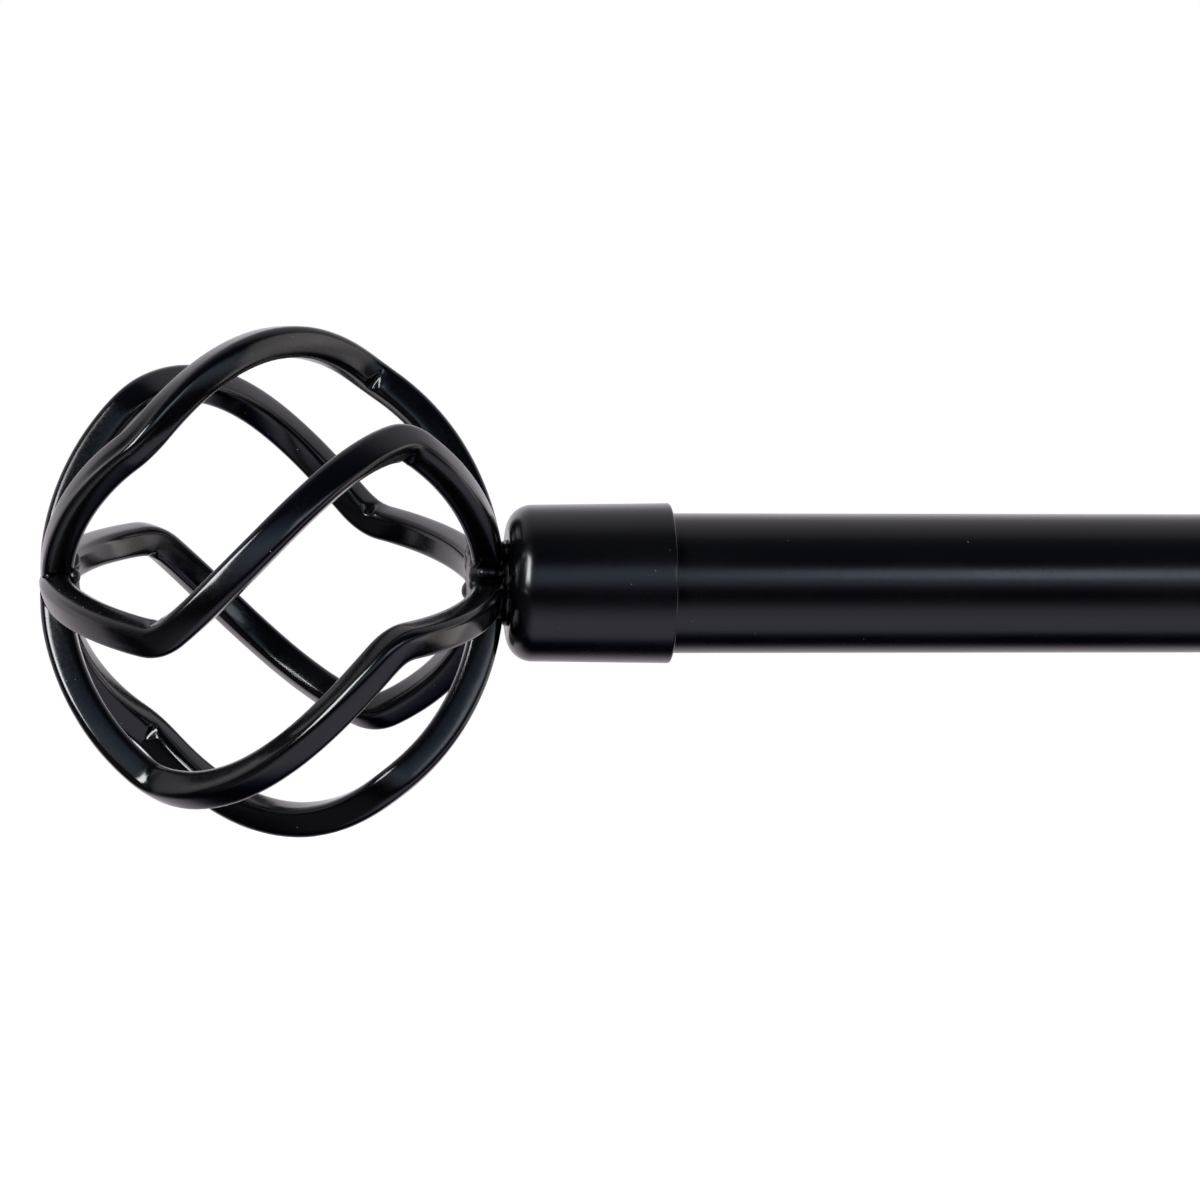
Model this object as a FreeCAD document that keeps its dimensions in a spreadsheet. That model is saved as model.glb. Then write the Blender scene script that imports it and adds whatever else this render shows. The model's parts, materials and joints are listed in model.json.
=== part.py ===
# Extendable curtain rod with two twisted-cage finials and two adjustable wall brackets.
#
# +X runs along the rod, +Y points into the wall and +Z is up. The origin is on the wall plane, in
# the middle of the left bracket's plate. A wide tube carries a narrower one that slides out of its
# right-hand end. A finial closes each end: a drawn steel cap, and a cage of bent square bars that a
# stud holds to it. Each bracket is a wall plate, a socket, an arm that slides in the socket, and a
# cradle that the rod drops into, with a thumb screw under it.
import FreeCAD, Part
import math
import os
import re
import Sketcher
from FreeCAD import Placement, Rotation, Vector

# The driving dimensions, in millimetres and degrees. Names are words, as the sheet needs.
DRIVING = {
    # rod
    "outer_tube_diameter": 25.4,
    "outer_tube_wall": 0.8,
    "outer_tube_length": 682.0,
    "inner_tube_diameter": 22.2,
    "inner_tube_wall": 0.8,
    "inner_tube_length": 680.0,
    "rest_extension": 129.0,  # how far the inner tube stands out of the outer one as stored
    "tube_edge_round": 0.2,
    "bush_wall": 1.4,
    "bush_plug_length": 14.0,
    "bush_flange": 3.0,
    "mouth_bush_length": 16.0,
    "mouth_bush_flange": 1.4,
    "slide_clearance": 0.1,
    "push_clearance": 0.03,
    # finial cap and what holds the cage to it
    "cap_clearance": 0.6,  # tube to the cap's wall, at the cap's open rim
    "cap_flare": 0.4,  # how much its radius grows from the closed end to the rim
    "cap_wall": 1.2,
    "cap_length": 29.5,
    "cap_corner_radius": 4.5,
    "cap_rim_round": 0.4,
    "tube_end_gap": 0.5,
    "sleeve_inset": 1.0,
    "collar_diameter": 13.8,
    "collar_stand": 0.5,
    "collar_seat": 0.8,
    "stud_diameter": 6.0,
    "stud_head_diameter": 10.4,
    "stud_head_height": 2.6,
    "stud_end": 2.0,
    "washer_diameter": 12.0,
    "washer_thickness": 1.2,
    "stud_nut_flats": 10.0,
    "stud_nut_height": 5.0,
    "finial_screw_diameter": 3.0,
    "finial_screw_position": 18.0,
    "screw_head_ratio": 1.85,
    "screw_head_height": 1.8,
    "screw_tip_gap": 0.1,
    # cage
    "cage_diameter": 93.0,
    "cage_tip_reach": 41.7,
    "cage_neck_reach": 41.7,
    "bar_size": 5.8,
    "bar_corner_radius": 0.9,
    "bar_count": 6,
    "kink_start_angle": 56.0,  # polar angle from the tip at which a bar starts to turn
    "kink_end_angle": 123.5,
    "kink_spread": 0.07,  # how much of the turning stretch each bend takes up
    "cage_twist": 57.5,
    "cage_phase": -15.0,
    # brackets
    "projection": 90.0,  # wall to rod axis
    "bracket_spacing": 420.0,
    "left_overhang": 150.0,  # left bracket to the left cap's rim
    "plate_width": 30.0,
    "plate_height": 80.0,
    "plate_thickness": 3.0,
    "plate_corner": 8.0,
    "plate_edge_round": 0.8,
    "wall_hole_spacing": 56.0,
    "wall_hole_diameter": 5.0,
    "wall_hole_countersink": 1.6,
    "socket_diameter": 16.0,
    "socket_length": 48.0,
    "socket_bore_depth": 40.0,
    "socket_flange_diameter": 23.0,
    "socket_flange_thickness": 2.5,
    "socket_flange_round": 2.0,
    "socket_rim_round": 0.5,
    "socket_screw_diameter": 5.0,
    "socket_screw_depth": 6.0,
    "countersink_depth": 2.2,
    "countersink_gap": 0.05,
    "screw_sink": 0.2,
    "arm_diameter": 12.0,
    "arm_engagement": 30.0,
    "arm_end_round": 0.8,
    "arm_screw_diameter": 4.0,
    "arm_screw_inset": 9.0,  # socket mouth to screw
    "cradle_width": 18.0,
    "cradle_thickness": 2.5,
    "cradle_clearance": 0.3,
    "cradle_lip": 8.0,
    "cradle_lip_round": 1.1,
    "lock_diameter": 4.0,
    "lock_hole_clearance": 0.2,
    "lock_nut_flats": 8.0,
    "lock_nut_height": 3.4,
    "lock_nut_sink": 0.5,
    "lock_knob_gap": 3.0,
    "knob_diameter": 13.0,
    "knob_height": 9.0,
    "knob_cover": 1.5,
    "knob_edge_round": 0.7,
    "flute_radius": 0.8,
    "flute_count": 18,
}

# Sizes that follow from the driving ones, as formulas for the sheet.
OUTER_R = "outer_tube_diameter / 2"
OUTER_BORE = f"({OUTER_R} - outer_tube_wall)"
INNER_R = "inner_tube_diameter / 2"
INNER_BORE = f"({INNER_R} - inner_tube_wall)"
CAP_BORE = f"({OUTER_R} + cap_clearance)"
CAP_R = f"({CAP_BORE} + cap_wall)"
STUD_R = "stud_diameter / 2"
STUD_HOLE = f"({STUD_R} + slide_clearance)"
CUP_INNER = f"({OUTER_R} + cradle_clearance)"
CUP_OUTER = f"({CUP_INNER} + cradle_thickness)"
ARM_R = "arm_diameter / 2"
SOCKET_R = "socket_diameter / 2"
SOCKET_SCREW_R = "socket_screw_diameter / 2"
LOCK_R = "lock_diameter / 2"
LOCK_NUT_FOOT = f"({CUP_OUTER} - lock_nut_sink + lock_nut_height)"
KNOB_TOP = f"({LOCK_NUT_FOOT} + lock_knob_gap)"
TUBE_SEAT = "(cap_corner_radius + tube_end_gap)"
NUT_FACE = "(cap_wall + washer_thickness)"
STUD_REACH = f"({NUT_FACE} + stud_nut_height + stud_end)"
BARS_INNER_FACE = "(collar_stand + bar_size)"

# Places along the rod.
LEFT_CAP_FACE = "(0 - left_overhang - cap_length)"
LEFT_TUBE_END = f"({LEFT_CAP_FACE} + {TUBE_SEAT})"
TUBE_MOUTH = f"({LEFT_TUBE_END} + outer_tube_length)"
RIGHT_TUBE_END = f"({TUBE_MOUTH} + rest_extension)"
INNER_TUBE_START = f"({RIGHT_TUBE_END} - inner_tube_length)"
RIGHT_CAP_FACE = f"({RIGHT_TUBE_END} + {TUBE_SEAT})"
ROD_Y = "(0 - projection)"

# Each finial is drawn with its cap's end face at its own origin, the cap towards +X and the cage
# towards -X. The right-hand one is turned half a turn about Y.
FINIALS = {
    "left": {"face": LEFT_CAP_FACE, "sign": 1, "turn": Rotation(), "tube_r": OUTER_R},
    "right": {
        "face": RIGHT_CAP_FACE,
        "sign": -1,
        "turn": Rotation(Vector(0, 1, 0), 180),
        "tube_r": INNER_R,
    },
}
BRACKETS = {"left": "0", "right": "bracket_spacing"}

doc = FreeCAD.newDocument("CurtainRod")
sheet = doc.addObject("Spreadsheet::Sheet", "Sizes")
for row, (alias, number) in enumerate(DRIVING.items(), start=1):
    sheet.set(f"A{row}", alias)
    sheet.set(f"B{row}", str(number))
    sheet.setAlias(f"B{row}", alias)
doc.recompute()

subparts = []


# ---------------------------------------------------------------- helpers
def linked(formula):
    """The formula with every dimension's name pointed at the sheet."""

    def point_at_sheet(found):
        word = found[0]
        return f"Sizes.{word}" if word in DRIVING else word

    return re.sub(r"[a-z_]+", point_at_sheet, formula)


def size(formula):
    """The number that a formula gives."""
    return float(sheet.evalExpression(formula))


def bind(thing, prop, formula):
    thing.setExpression(prop, linked(formula))


def new_body(label):
    body = doc.addObject("PartDesign::Body", label)
    body.Label = label
    subparts.append(body)
    return body


def new_sketch(body, plane, name):
    sketch = body.newObject("Sketcher::SketchObject", f"{body.Label}_{name}")
    sketch.AttachmentSupport = (next(f for f in body.Origin.OriginFeatures if f.Role == plane), [""])
    sketch.MapMode = "FlatFace"
    return sketch


def constrain(sketch, name, formula, *terms):
    """A named constraint whose value follows a formula."""
    index = sketch.addConstraint(Sketcher.Constraint(*terms, size(formula)))
    sketch.renameConstraint(index, name)
    bind(sketch, f"Constraints.{name}", formula)


def outline(body, plane, corners, name="outline"):
    """A closed sketch of straight edges. Each corner is a pair of formulas."""
    sketch = new_sketch(body, plane, name)
    points = [Vector(size(across), size(up), 0) for across, up in corners]
    count = len(points)
    for n in range(count):
        sketch.addGeometry(Part.LineSegment(points[n], points[(n + 1) % count]), False)
    for n in range(count):
        sketch.addConstraint(Sketcher.Constraint("Coincident", n, 2, (n + 1) % count, 1))
    for n, (across, up) in enumerate(corners):
        constrain(sketch, f"across{n}", across, "DistanceX", -1, 1, n, 1)
        constrain(sketch, f"up{n}", up, "DistanceY", -1, 1, n, 1)
    return sketch


def circles(body, plane, rings, name="circles"):
    """A sketch of circles, each given by formulas for its radius and its centre."""
    sketch = new_sketch(body, plane, name)
    for n, (radius, across, up) in enumerate(rings):
        centre = Vector(size(across), size(up), 0)
        sketch.addGeometry(Part.Circle(centre, Vector(0, 0, 1), size(radius)), False)
        constrain(sketch, f"radius{n}", radius, "Radius", n)
        constrain(sketch, f"across{n}", across, "DistanceX", -1, 1, n, 3)
        constrain(sketch, f"up{n}", up, "DistanceY", -1, 1, n, 3)
    return sketch


def cup_outline(body, radius, top, name):
    """A closed U on the YZ plane: a half circle below the X axis and straight sides up to top."""
    sketch = new_sketch(body, "YZ_Plane", name)
    r = size(radius)
    up = size(top)
    circle = Part.Circle(Vector(), Vector(0, 0, 1), r)
    sketch.addGeometry(Part.ArcOfCircle(circle, math.pi, 2 * math.pi), False)
    sketch.addGeometry(Part.LineSegment(Vector(r, 0, 0), Vector(r, up, 0)), False)
    sketch.addGeometry(Part.LineSegment(Vector(r, up, 0), Vector(-r, up, 0)), False)
    sketch.addGeometry(Part.LineSegment(Vector(-r, up, 0), Vector(-r, 0, 0)), False)
    sketch.addConstraint(Sketcher.Constraint("Coincident", 0, 3, -1, 1))
    sketch.addConstraint(Sketcher.Constraint("Coincident", 0, 2, 1, 1))
    sketch.addConstraint(Sketcher.Constraint("Coincident", 1, 2, 2, 1))
    sketch.addConstraint(Sketcher.Constraint("Coincident", 2, 2, 3, 1))
    sketch.addConstraint(Sketcher.Constraint("Coincident", 3, 2, 0, 1))
    sketch.addConstraint(Sketcher.Constraint("Horizontal", 2))
    sketch.addConstraint(Sketcher.Constraint("Vertical", 1))
    sketch.addConstraint(Sketcher.Constraint("Vertical", 3))
    sketch.addConstraint(Sketcher.Constraint("PointOnObject", 0, 1, -1))
    constrain(sketch, "radius", radius, "Radius", 0)
    constrain(sketch, "top", top, "DistanceY", -1, 1, 2, 1)
    return sketch


def pad(body, sketch, length, symmetric=False):
    feature = body.newObject("PartDesign::Pad", f"{sketch.Label}_pad")
    feature.Profile = sketch
    feature.SideType = "Symmetric" if symmetric else "One side"
    bind(feature, "Length", length)
    doc.recompute()
    return feature


def revolve(body, sketch, axis):
    feature = body.newObject("PartDesign::Revolution", f"{sketch.Label}_turned")
    feature.Profile = sketch
    feature.ReferenceAxis = (sketch, [axis])
    feature.Angle = 360
    doc.recompute()
    return feature


def pocket(body, sketch, length, reverse=False, symmetric=False):
    """Cuts the sketch out of the body, and stops the build if nothing was cut."""
    before = body.Shape.Volume
    feature = body.newObject("PartDesign::Pocket", f"{sketch.Label}_cut")
    feature.Profile = sketch
    feature.SideType = "Symmetric" if symmetric else "One side"
    feature.Reversed = reverse
    bind(feature, "Length", length)
    doc.recompute()
    if not feature.Shape.Volume < before - 1e-3:
        raise RuntimeError(f"{feature.Label} cuts nothing")
    return feature


def dress(body, kind, prop, amount, wanted):
    """Rounds or bevels the edges of the body's last feature for which wanted(edge) is true."""
    base = body.Tip
    names = [f"Edge{n}" for n, edge in enumerate(base.Shape.Edges, start=1) if wanted(edge)]
    if not names:
        raise RuntimeError(f"{body.Label} has no edge to dress")
    feature = body.newObject(f"PartDesign::{kind}", f"{body.Label}_{kind}")
    feature.Base = (base, names)
    bind(feature, prop, amount)
    doc.recompute()
    return feature


def fillet(body, radius, wanted):
    return dress(body, "Fillet", "Radius", radius, wanted)


def chamfer(body, width, wanted):
    return dress(body, "Chamfer", "Size", width, wanted)


def ring_at(axis, place, radius):
    """Picks the circular edge of that radius whose centre lies at place along the named axis."""
    spot = size(place)
    wide = size(radius)

    def wanted(edge):
        curve = edge.Curve
        if not isinstance(curve, Part.Circle):
            return False
        return abs(curve.Radius - wide) < 1e-4 and abs(getattr(curve.Center, axis) - spot) < 1e-4

    return wanted


def any_of(*tests):
    return lambda edge: any(test(edge) for test in tests)


def place(thing, along="0", across="0", up="0", turn=Rotation()):
    """Sets a sub-part down in the row frame, its position bound to the sheet."""
    thing.Placement = Placement(Vector(size(along), size(across), size(up)), turn)
    bind(thing, "Placement.Base.x", along)
    bind(thing, "Placement.Base.y", across)
    bind(thing, "Placement.Base.z", up)


def place_on_finial(thing, side, along="0"):
    """Sets a finial's piece down, along being its distance from the cap's end face."""
    finial = FINIALS[side]
    place(thing, f"{finial['face']} + {finial['sign']} * ({along})", ROD_Y, turn=finial["turn"])


# ---------------------------------------------------------------- rod
def tube(label, diameter, wall, length, start):
    body = new_body(label)
    rings = [(f"{diameter} / 2", "0", "0"), (f"{diameter} / 2 - {wall}", "0", "0")]
    pad(body, circles(body, "YZ_Plane", rings), length)
    fillet(body, "tube_edge_round", lambda edge: isinstance(edge.Curve, Part.Circle))
    place(body, start, ROD_Y)


def inner_bush():
    """Nylon plug in the hidden end of the inner tube. Its flange slides in the outer tube."""
    body = new_body("glide_bush")
    plug = f"({INNER_BORE} - push_clearance)"
    bore = f"({INNER_BORE} - bush_wall)"
    flange = f"({OUTER_BORE} - slide_clearance)"
    corners = [
        ("0 - bush_flange", bore),
        ("0 - bush_flange", flange),
        ("0", flange),
        ("0", plug),
        ("bush_plug_length", plug),
        ("bush_plug_length", bore),
    ]
    revolve(body, outline(body, "XY_Plane", corners), "H_Axis")
    place(body, INNER_TUBE_START, ROD_Y)


def mouth_bush():
    """Nylon liner in the open end of the outer tube. The inner tube slides through it."""
    body = new_body("mouth_bush")
    liner = f"({OUTER_BORE} - push_clearance)"
    bore = f"({INNER_R} + slide_clearance)"
    corners = [
        ("0 - mouth_bush_length", bore),
        ("0 - mouth_bush_length", liner),
        ("0", liner),
        ("0", OUTER_R),
        ("mouth_bush_flange", OUTER_R),
        ("mouth_bush_flange", bore),
    ]
    revolve(body, outline(body, "XY_Plane", corners), "H_Axis")
    fillet(body, "mouth_bush_flange / 3", ring_at("x", "mouth_bush_flange", OUTER_R))
    place(body, TUBE_MOUTH, ROD_Y)


# ---------------------------------------------------------------- finials
def cap_bore_at(along):
    """The radius inside the cap's wall, which widens towards the rim."""
    return f"({CAP_BORE} - cap_flare * (cap_length - ({along})) / (cap_length - cap_wall))"


def finial_cap(side):
    body = new_body(f"{side}_finial_cap")
    closed_r = f"{CAP_R} - cap_flare"
    closed_bore = cap_bore_at("cap_wall")
    corners = [
        ("0", STUD_HOLE),
        ("0", closed_r),
        ("cap_length", CAP_R),
        ("cap_length", CAP_BORE),
        ("cap_wall", closed_bore),
        ("cap_wall", STUD_HOLE),
    ]
    revolve(body, outline(body, "XY_Plane", corners), "H_Axis")
    fillet(body, "cap_corner_radius", ring_at("x", "0", closed_r))
    fillet(body, "cap_corner_radius - cap_wall", ring_at("x", "cap_wall", closed_bore))
    rim = any_of(ring_at("x", "cap_length", CAP_R), ring_at("x", "cap_length", CAP_BORE))
    fillet(body, "cap_rim_round", rim)
    cross_hole(body, CAP_R)
    place_on_finial(body, side)


def cross_hole(body, reach):
    """The hole for the finial's retaining screw, on the side that faces the wall."""
    hole = "finial_screw_diameter / 2 + push_clearance"
    drill = circles(body, "XZ_Plane", [(hole, "finial_screw_position", "0")], "screw_hole")
    pocket(body, drill, f"{reach} + 1")


def reducer_sleeve():
    """Nylon sleeve that makes up the difference between the right-hand cap and the thinner tube."""
    body = new_body("right_reducer_sleeve")
    bore = f"({INNER_R} + push_clearance)"
    mouth = "cap_length - sleeve_inset"
    corners = [
        (TUBE_SEAT, bore),
        (TUBE_SEAT, f"{cap_bore_at(TUBE_SEAT)} - push_clearance"),
        (mouth, f"{cap_bore_at(mouth)} - push_clearance"),
        (mouth, bore),
    ]
    revolve(body, outline(body, "XY_Plane", corners), "H_Axis")
    cross_hole(body, CAP_R)
    place_on_finial(body, "right")


def neck_collar(side):
    body = new_body(f"{side}_neck_collar")
    back = "0 - collar_stand - collar_seat"
    outside = "collar_diameter / 2"
    corners = [(back, STUD_HOLE), (back, outside), ("0", outside), ("0", STUD_HOLE)]
    revolve(body, outline(body, "XY_Plane", corners), "H_Axis")
    fillet(body, "collar_seat / 2", any_of(ring_at("x", back, outside), ring_at("x", "0", outside)))
    place_on_finial(body, side)


def finial_stud(side):
    """Low round-headed stud. Its head sits inside the cage and its end takes the nut in the cap."""
    body = new_body(f"{side}_finial_stud")
    head_top = f"0 - {BARS_INNER_FACE} - stud_head_height"
    head_r = "stud_head_diameter / 2"
    seat = f"0 - {BARS_INNER_FACE}"
    corners = [
        (head_top, "0"),
        (head_top, head_r),
        (seat, head_r),
        (seat, STUD_R),
        (STUD_REACH, STUD_R),
        (STUD_REACH, "0"),
    ]
    revolve(body, outline(body, "XY_Plane", corners), "H_Axis")
    fillet(body, "stud_head_height / 2", ring_at("x", head_top, head_r))
    chamfer(body, "stud_diameter / 10", ring_at("x", STUD_REACH, STUD_R))
    place_on_finial(body, side)


def finial_washer(side):
    body = new_body(f"{side}_finial_washer")
    rim = "washer_diameter / 2"
    corners = [
        ("0", STUD_HOLE),
        ("0", rim),
        ("washer_thickness", rim),
        ("washer_thickness", STUD_HOLE),
    ]
    revolve(body, outline(body, "XY_Plane", corners), "H_Axis")
    place_on_finial(body, side, "cap_wall")


def hexagon(body, plane, flats):
    """A closed sketch of a hexagon, by its width across flats."""
    radius = f"({flats} / 2 / cos(30 deg))"
    corners = [(f"{radius} * cos({60 * n} deg)", f"{radius} * sin({60 * n} deg)") for n in range(6)]
    return outline(body, plane, corners, "hexagon")


def finial_nut(side):
    body = new_body(f"{side}_finial_nut")
    pad(body, hexagon(body, "YZ_Plane", "stud_nut_flats"), "stud_nut_height")
    bore = circles(body, "YZ_Plane", [(f"{STUD_R} + push_clearance", "0", "0")], "bore")
    pocket(body, bore, "stud_nut_height", reverse=True)
    place_on_finial(body, side, NUT_FACE)


def pan_screw(label, diameter, tip, seat):
    """Pan-head screw along +Y from its tip to its head, both measured from its own origin."""
    body = new_body(label)
    shank = f"{diameter} / 2"
    head = f"{diameter} * screw_head_ratio / 2"
    top = f"{seat} + screw_head_height"
    corners = [("0", tip), (shank, tip), (shank, seat), (head, seat), (head, top), ("0", top)]
    revolve(body, outline(body, "XY_Plane", corners), "V_Axis")
    fillet(body, "screw_head_height / 2", ring_at("y", top, head))
    slot = outline(
        body,
        "YZ_Plane",
        [
            (f"{top} - screw_head_height / 3", "0 - screw_head_height / 5"),
            (f"{top} + 1", "0 - screw_head_height / 5"),
            (f"{top} + 1", "screw_head_height / 5"),
            (f"{top} - screw_head_height / 3", "screw_head_height / 5"),
        ],
        "driver_slot",
    )
    pocket(body, slot, f"{head} * 4", symmetric=True)
    return body


def finial_screw(side):
    tip = f"{FINIALS[side]['tube_r']} + screw_tip_gap"
    seat = f"{CAP_R} + push_clearance"
    body = pan_screw(f"{side}_finial_screw", "finial_screw_diameter", tip, seat)
    place_on_finial(body, side, "finial_screw_position")


# ---------------------------------------------------------------- cage
def turning(share, spread):
    """How far a bar has turned, from 0 to 1, at a share of its turning stretch. The corners at
    both ends of the ramp are parabolas that take up spread of the stretch on each side."""
    if share <= -spread:
        return 0.0
    if share >= 1 + spread:
        return 1.0
    if share < spread:
        return (share + spread) ** 2 / (4 * spread)
    if share > 1 - spread:
        return 1.0 - (1 + spread - share) ** 2 / (4 * spread)
    return share


def bar_frame(polar):
    """Centre, outward normal and direction of a cage bar at a polar angle from the cage's tip.
    The bar's centreline lies on an ellipsoid of revolution about X, centred on the origin."""
    half = size("bar_size") / 2
    wide = size("cage_diameter") / 2 - half
    reach = (size("cage_tip_reach") if polar < math.pi / 2 else size("cage_neck_reach")) - half
    start = math.radians(size("kink_start_angle"))
    stretch = math.radians(size("kink_end_angle")) - start
    spread = size("kink_spread")
    twist = math.radians(size("cage_twist"))

    def azimuth(angle):
        return math.radians(size("cage_phase")) + twist * turning((angle - start) / stretch, spread)

    step = 1e-4
    facing = azimuth(polar)
    turn_rate = (azimuth(polar + step) - azimuth(polar - step)) / (2 * step)
    radial = Vector(0, -math.cos(facing), math.sin(facing))
    around = Vector(0, math.sin(facing), math.cos(facing))
    along = Vector(1, 0, 0)
    ring = wide * math.sin(polar)
    centre = along * (-reach * math.cos(polar)) + radial * ring
    normal = along * (-math.cos(polar) / reach) + radial * (math.sin(polar) / wide)
    direction = along * (reach * math.sin(polar)) + radial * (wide * math.cos(polar))
    direction = direction + around * (ring * turn_rate)
    return centre, normal.normalize(), direction.normalize()


def bar_section(polar):
    """The rounded square of a cage bar, square to its direction and with one face outwards."""
    centre, normal, direction = bar_frame(polar)
    side = direction.cross(normal)
    half = size("bar_size") / 2
    corner = size("bar_corner_radius")
    flat = half - corner
    quarter = corner * math.sqrt(0.5)

    def at(out, over):
        return centre + normal * out + side * over

    edges = []
    turns = [(1, 1), (1, -1), (-1, -1), (-1, 1)]
    for n, (out, over) in enumerate(turns):
        ends = [at(out * flat, over * half), at(out * half, over * flat)]
        if n % 2:
            ends.reverse()
        middle = at(out * (flat + quarter), over * (flat + quarter))
        edges.append(Part.Arc(ends[0], middle, ends[1]).toShape())
    joined = []
    for n, arc in enumerate(edges):
        following = edges[(n + 1) % len(edges)]
        joined.append(arc)
        joined.append(Part.makeLine(arc.Vertexes[-1].Point, following.Vertexes[0].Point))
    return Part.Wire(joined)


def cage_bar_shape():
    """One bar from tip to neck, mitred against its neighbours at both ends."""
    stations = 61
    sections = [bar_section(math.pi * n / (stations - 1)) for n in range(stations)]
    bar = Part.makeLoft(sections, True, False)
    bar.translate(Vector(-size("collar_stand + cage_neck_reach"), 0, 0))
    share = 360 / size("bar_count")
    phase = size("cage_phase")
    twist = size("cage_twist")
    zone = 3 * size("bar_size")
    tip_x = -size("collar_stand + cage_neck_reach + cage_tip_reach")
    neck_x = -size("collar_stand")
    bar = bar.cut(others_sector(tip_x - 1, zone, phase, share))
    bar = bar.cut(others_sector(neck_x - zone + 1, zone, phase + twist, share))
    bore = Part.makeCylinder(size(STUD_HOLE), zone, Vector(neck_x - zone + 1, 0, 0), Vector(1, 0, 0))
    seat_x = -size("collar_stand + collar_seat")
    collar = Part.makeCylinder(size("collar_diameter / 2"), zone, Vector(seat_x, 0, 0), Vector(1, 0, 0))
    head_r = size("stud_head_diameter / 2 + push_clearance")
    head = Part.makeCylinder(head_r, zone, Vector(-size(BARS_INNER_FACE), 0, 0), Vector(-1, 0, 0))
    return bar.cut(bore).cut(collar).cut(head)


def others_sector(start, length, azimuth, share):
    """Everything about the X axis except the wedge that belongs to the bar at azimuth."""
    sector = Part.makeCylinder(size("cage_diameter") / 4, length, Vector(), Vector(0, 0, 1), 360 - share)
    # the sector runs from its own +X, so it is turned to start just past the bar's wedge
    sector.rotate(Vector(), Vector(0, 0, 1), share / 2)
    # lay the cylinder's axis along X, with its +X on -Y, the way azimuth is measured
    sector.Placement = Placement(Vector(start, 0, 0), azimuth_turn(azimuth)).multiply(sector.Placement)
    return sector


def azimuth_turn(azimuth):
    """Takes Z to X and X to the radial direction at an azimuth, measured from -Y towards +Z."""
    lay_down = Rotation(Vector(0, -1, 0), Vector(0, 0, -1), Vector(1, 0, 0), "ZXY")
    return Rotation(Vector(1, 0, 0), -azimuth).multiply(lay_down)


def cage_bars(side):
    count = int(size("bar_count"))
    shape = cage_bar_shape()
    for n in range(count):
        label = f"{side}_cage_bar_{n + 1}"
        bar = doc.addObject("Part::Feature", label)
        bar.Label = label
        bar.Shape = shape
        finial = FINIALS[side]
        spin = Rotation(Vector(1, 0, 0), 360 * n / count)
        face = Vector(size(finial["face"]), size(ROD_Y), 0)
        bar.Placement = Placement(face, finial["turn"].multiply(spin))
        subparts.append(bar)


# ---------------------------------------------------------------- brackets
def wall_plate(side):
    body = new_body(f"{side}_wall_plate")
    w = "plate_width / 2"
    h = "plate_height / 2"
    corners = [(f"0 - {w}", f"0 - {h}"), (w, f"0 - {h}"), (w, h), (f"0 - {w}", h)]
    pad(body, outline(body, "XZ_Plane", corners), "plate_thickness")
    front = size("plate_thickness")

    def runs_through(edge):
        return abs(abs(edge.Vertexes[0].Y - edge.Vertexes[-1].Y) - front) < 1e-4

    fillet(body, "plate_corner", runs_through)
    fillet(body, "plate_edge_round", lambda edge: abs(edge.CenterOfMass.y + front) < 1e-4)
    wall_hole = "wall_hole_diameter / 2"
    centre_hole = f"{SOCKET_SCREW_R} + slide_clearance"
    rings = [
        (wall_hole, "0", "wall_hole_spacing / 2"),
        (wall_hole, "0", "0 - wall_hole_spacing / 2"),
        (centre_hole, "0", "0"),
    ]
    pocket(body, circles(body, "XZ_Plane", rings, "holes"), "plate_thickness", reverse=True)
    chamfer(body, "wall_hole_countersink", ring_at("y", "0 - plate_thickness", wall_hole))
    chamfer(body, "countersink_depth", ring_at("y", "0", centre_hole))
    place(body, BRACKETS[side])


def arm_socket(side):
    body = new_body(f"{side}_arm_socket")
    back = "0 - plate_thickness"
    face = f"{back} - socket_flange_thickness"
    mouth = f"{back} - socket_length"
    floor = f"{mouth} + socket_bore_depth"
    flange = "socket_flange_diameter / 2"
    bore = f"{ARM_R} + slide_clearance"
    thread = f"{SOCKET_SCREW_R} + push_clearance"
    corners = [
        (thread, back),
        (flange, back),
        (flange, face),
        (SOCKET_R, face),
        (SOCKET_R, mouth),
        (bore, mouth),
        (bore, floor),
        (thread, floor),
    ]
    revolve(body, outline(body, "XY_Plane", corners), "V_Axis")
    fillet(body, "socket_flange_round", ring_at("y", face, SOCKET_R))
    fillet(body, "socket_rim_round", any_of(ring_at("y", mouth, SOCKET_R), ring_at("y", face, flange)))
    hole = "arm_screw_diameter / 2 + push_clearance"
    drill = circles(body, "XY_Plane", [(hole, "0", f"{mouth} + arm_screw_inset")], "screw_hole")
    pocket(body, drill, f"{SOCKET_R} + 1")
    place(body, BRACKETS[side])


def socket_screw(side):
    """Countersunk screw from behind the plate, a little below the wall plane."""
    body = new_body(f"{side}_socket_screw")
    cone = f"({SOCKET_SCREW_R} + slide_clearance + countersink_depth - countersink_gap)"
    end = "0 - plate_thickness - socket_screw_depth"
    corners = [
        ("0", "0 - screw_sink"),
        (f"{cone} - screw_sink", "0 - screw_sink"),
        (SOCKET_SCREW_R, f"0 - {cone} + {SOCKET_SCREW_R}"),
        (SOCKET_SCREW_R, end),
        ("0", end),
    ]
    revolve(body, outline(body, "XY_Plane", corners), "V_Axis")
    place(body, BRACKETS[side])


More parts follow.
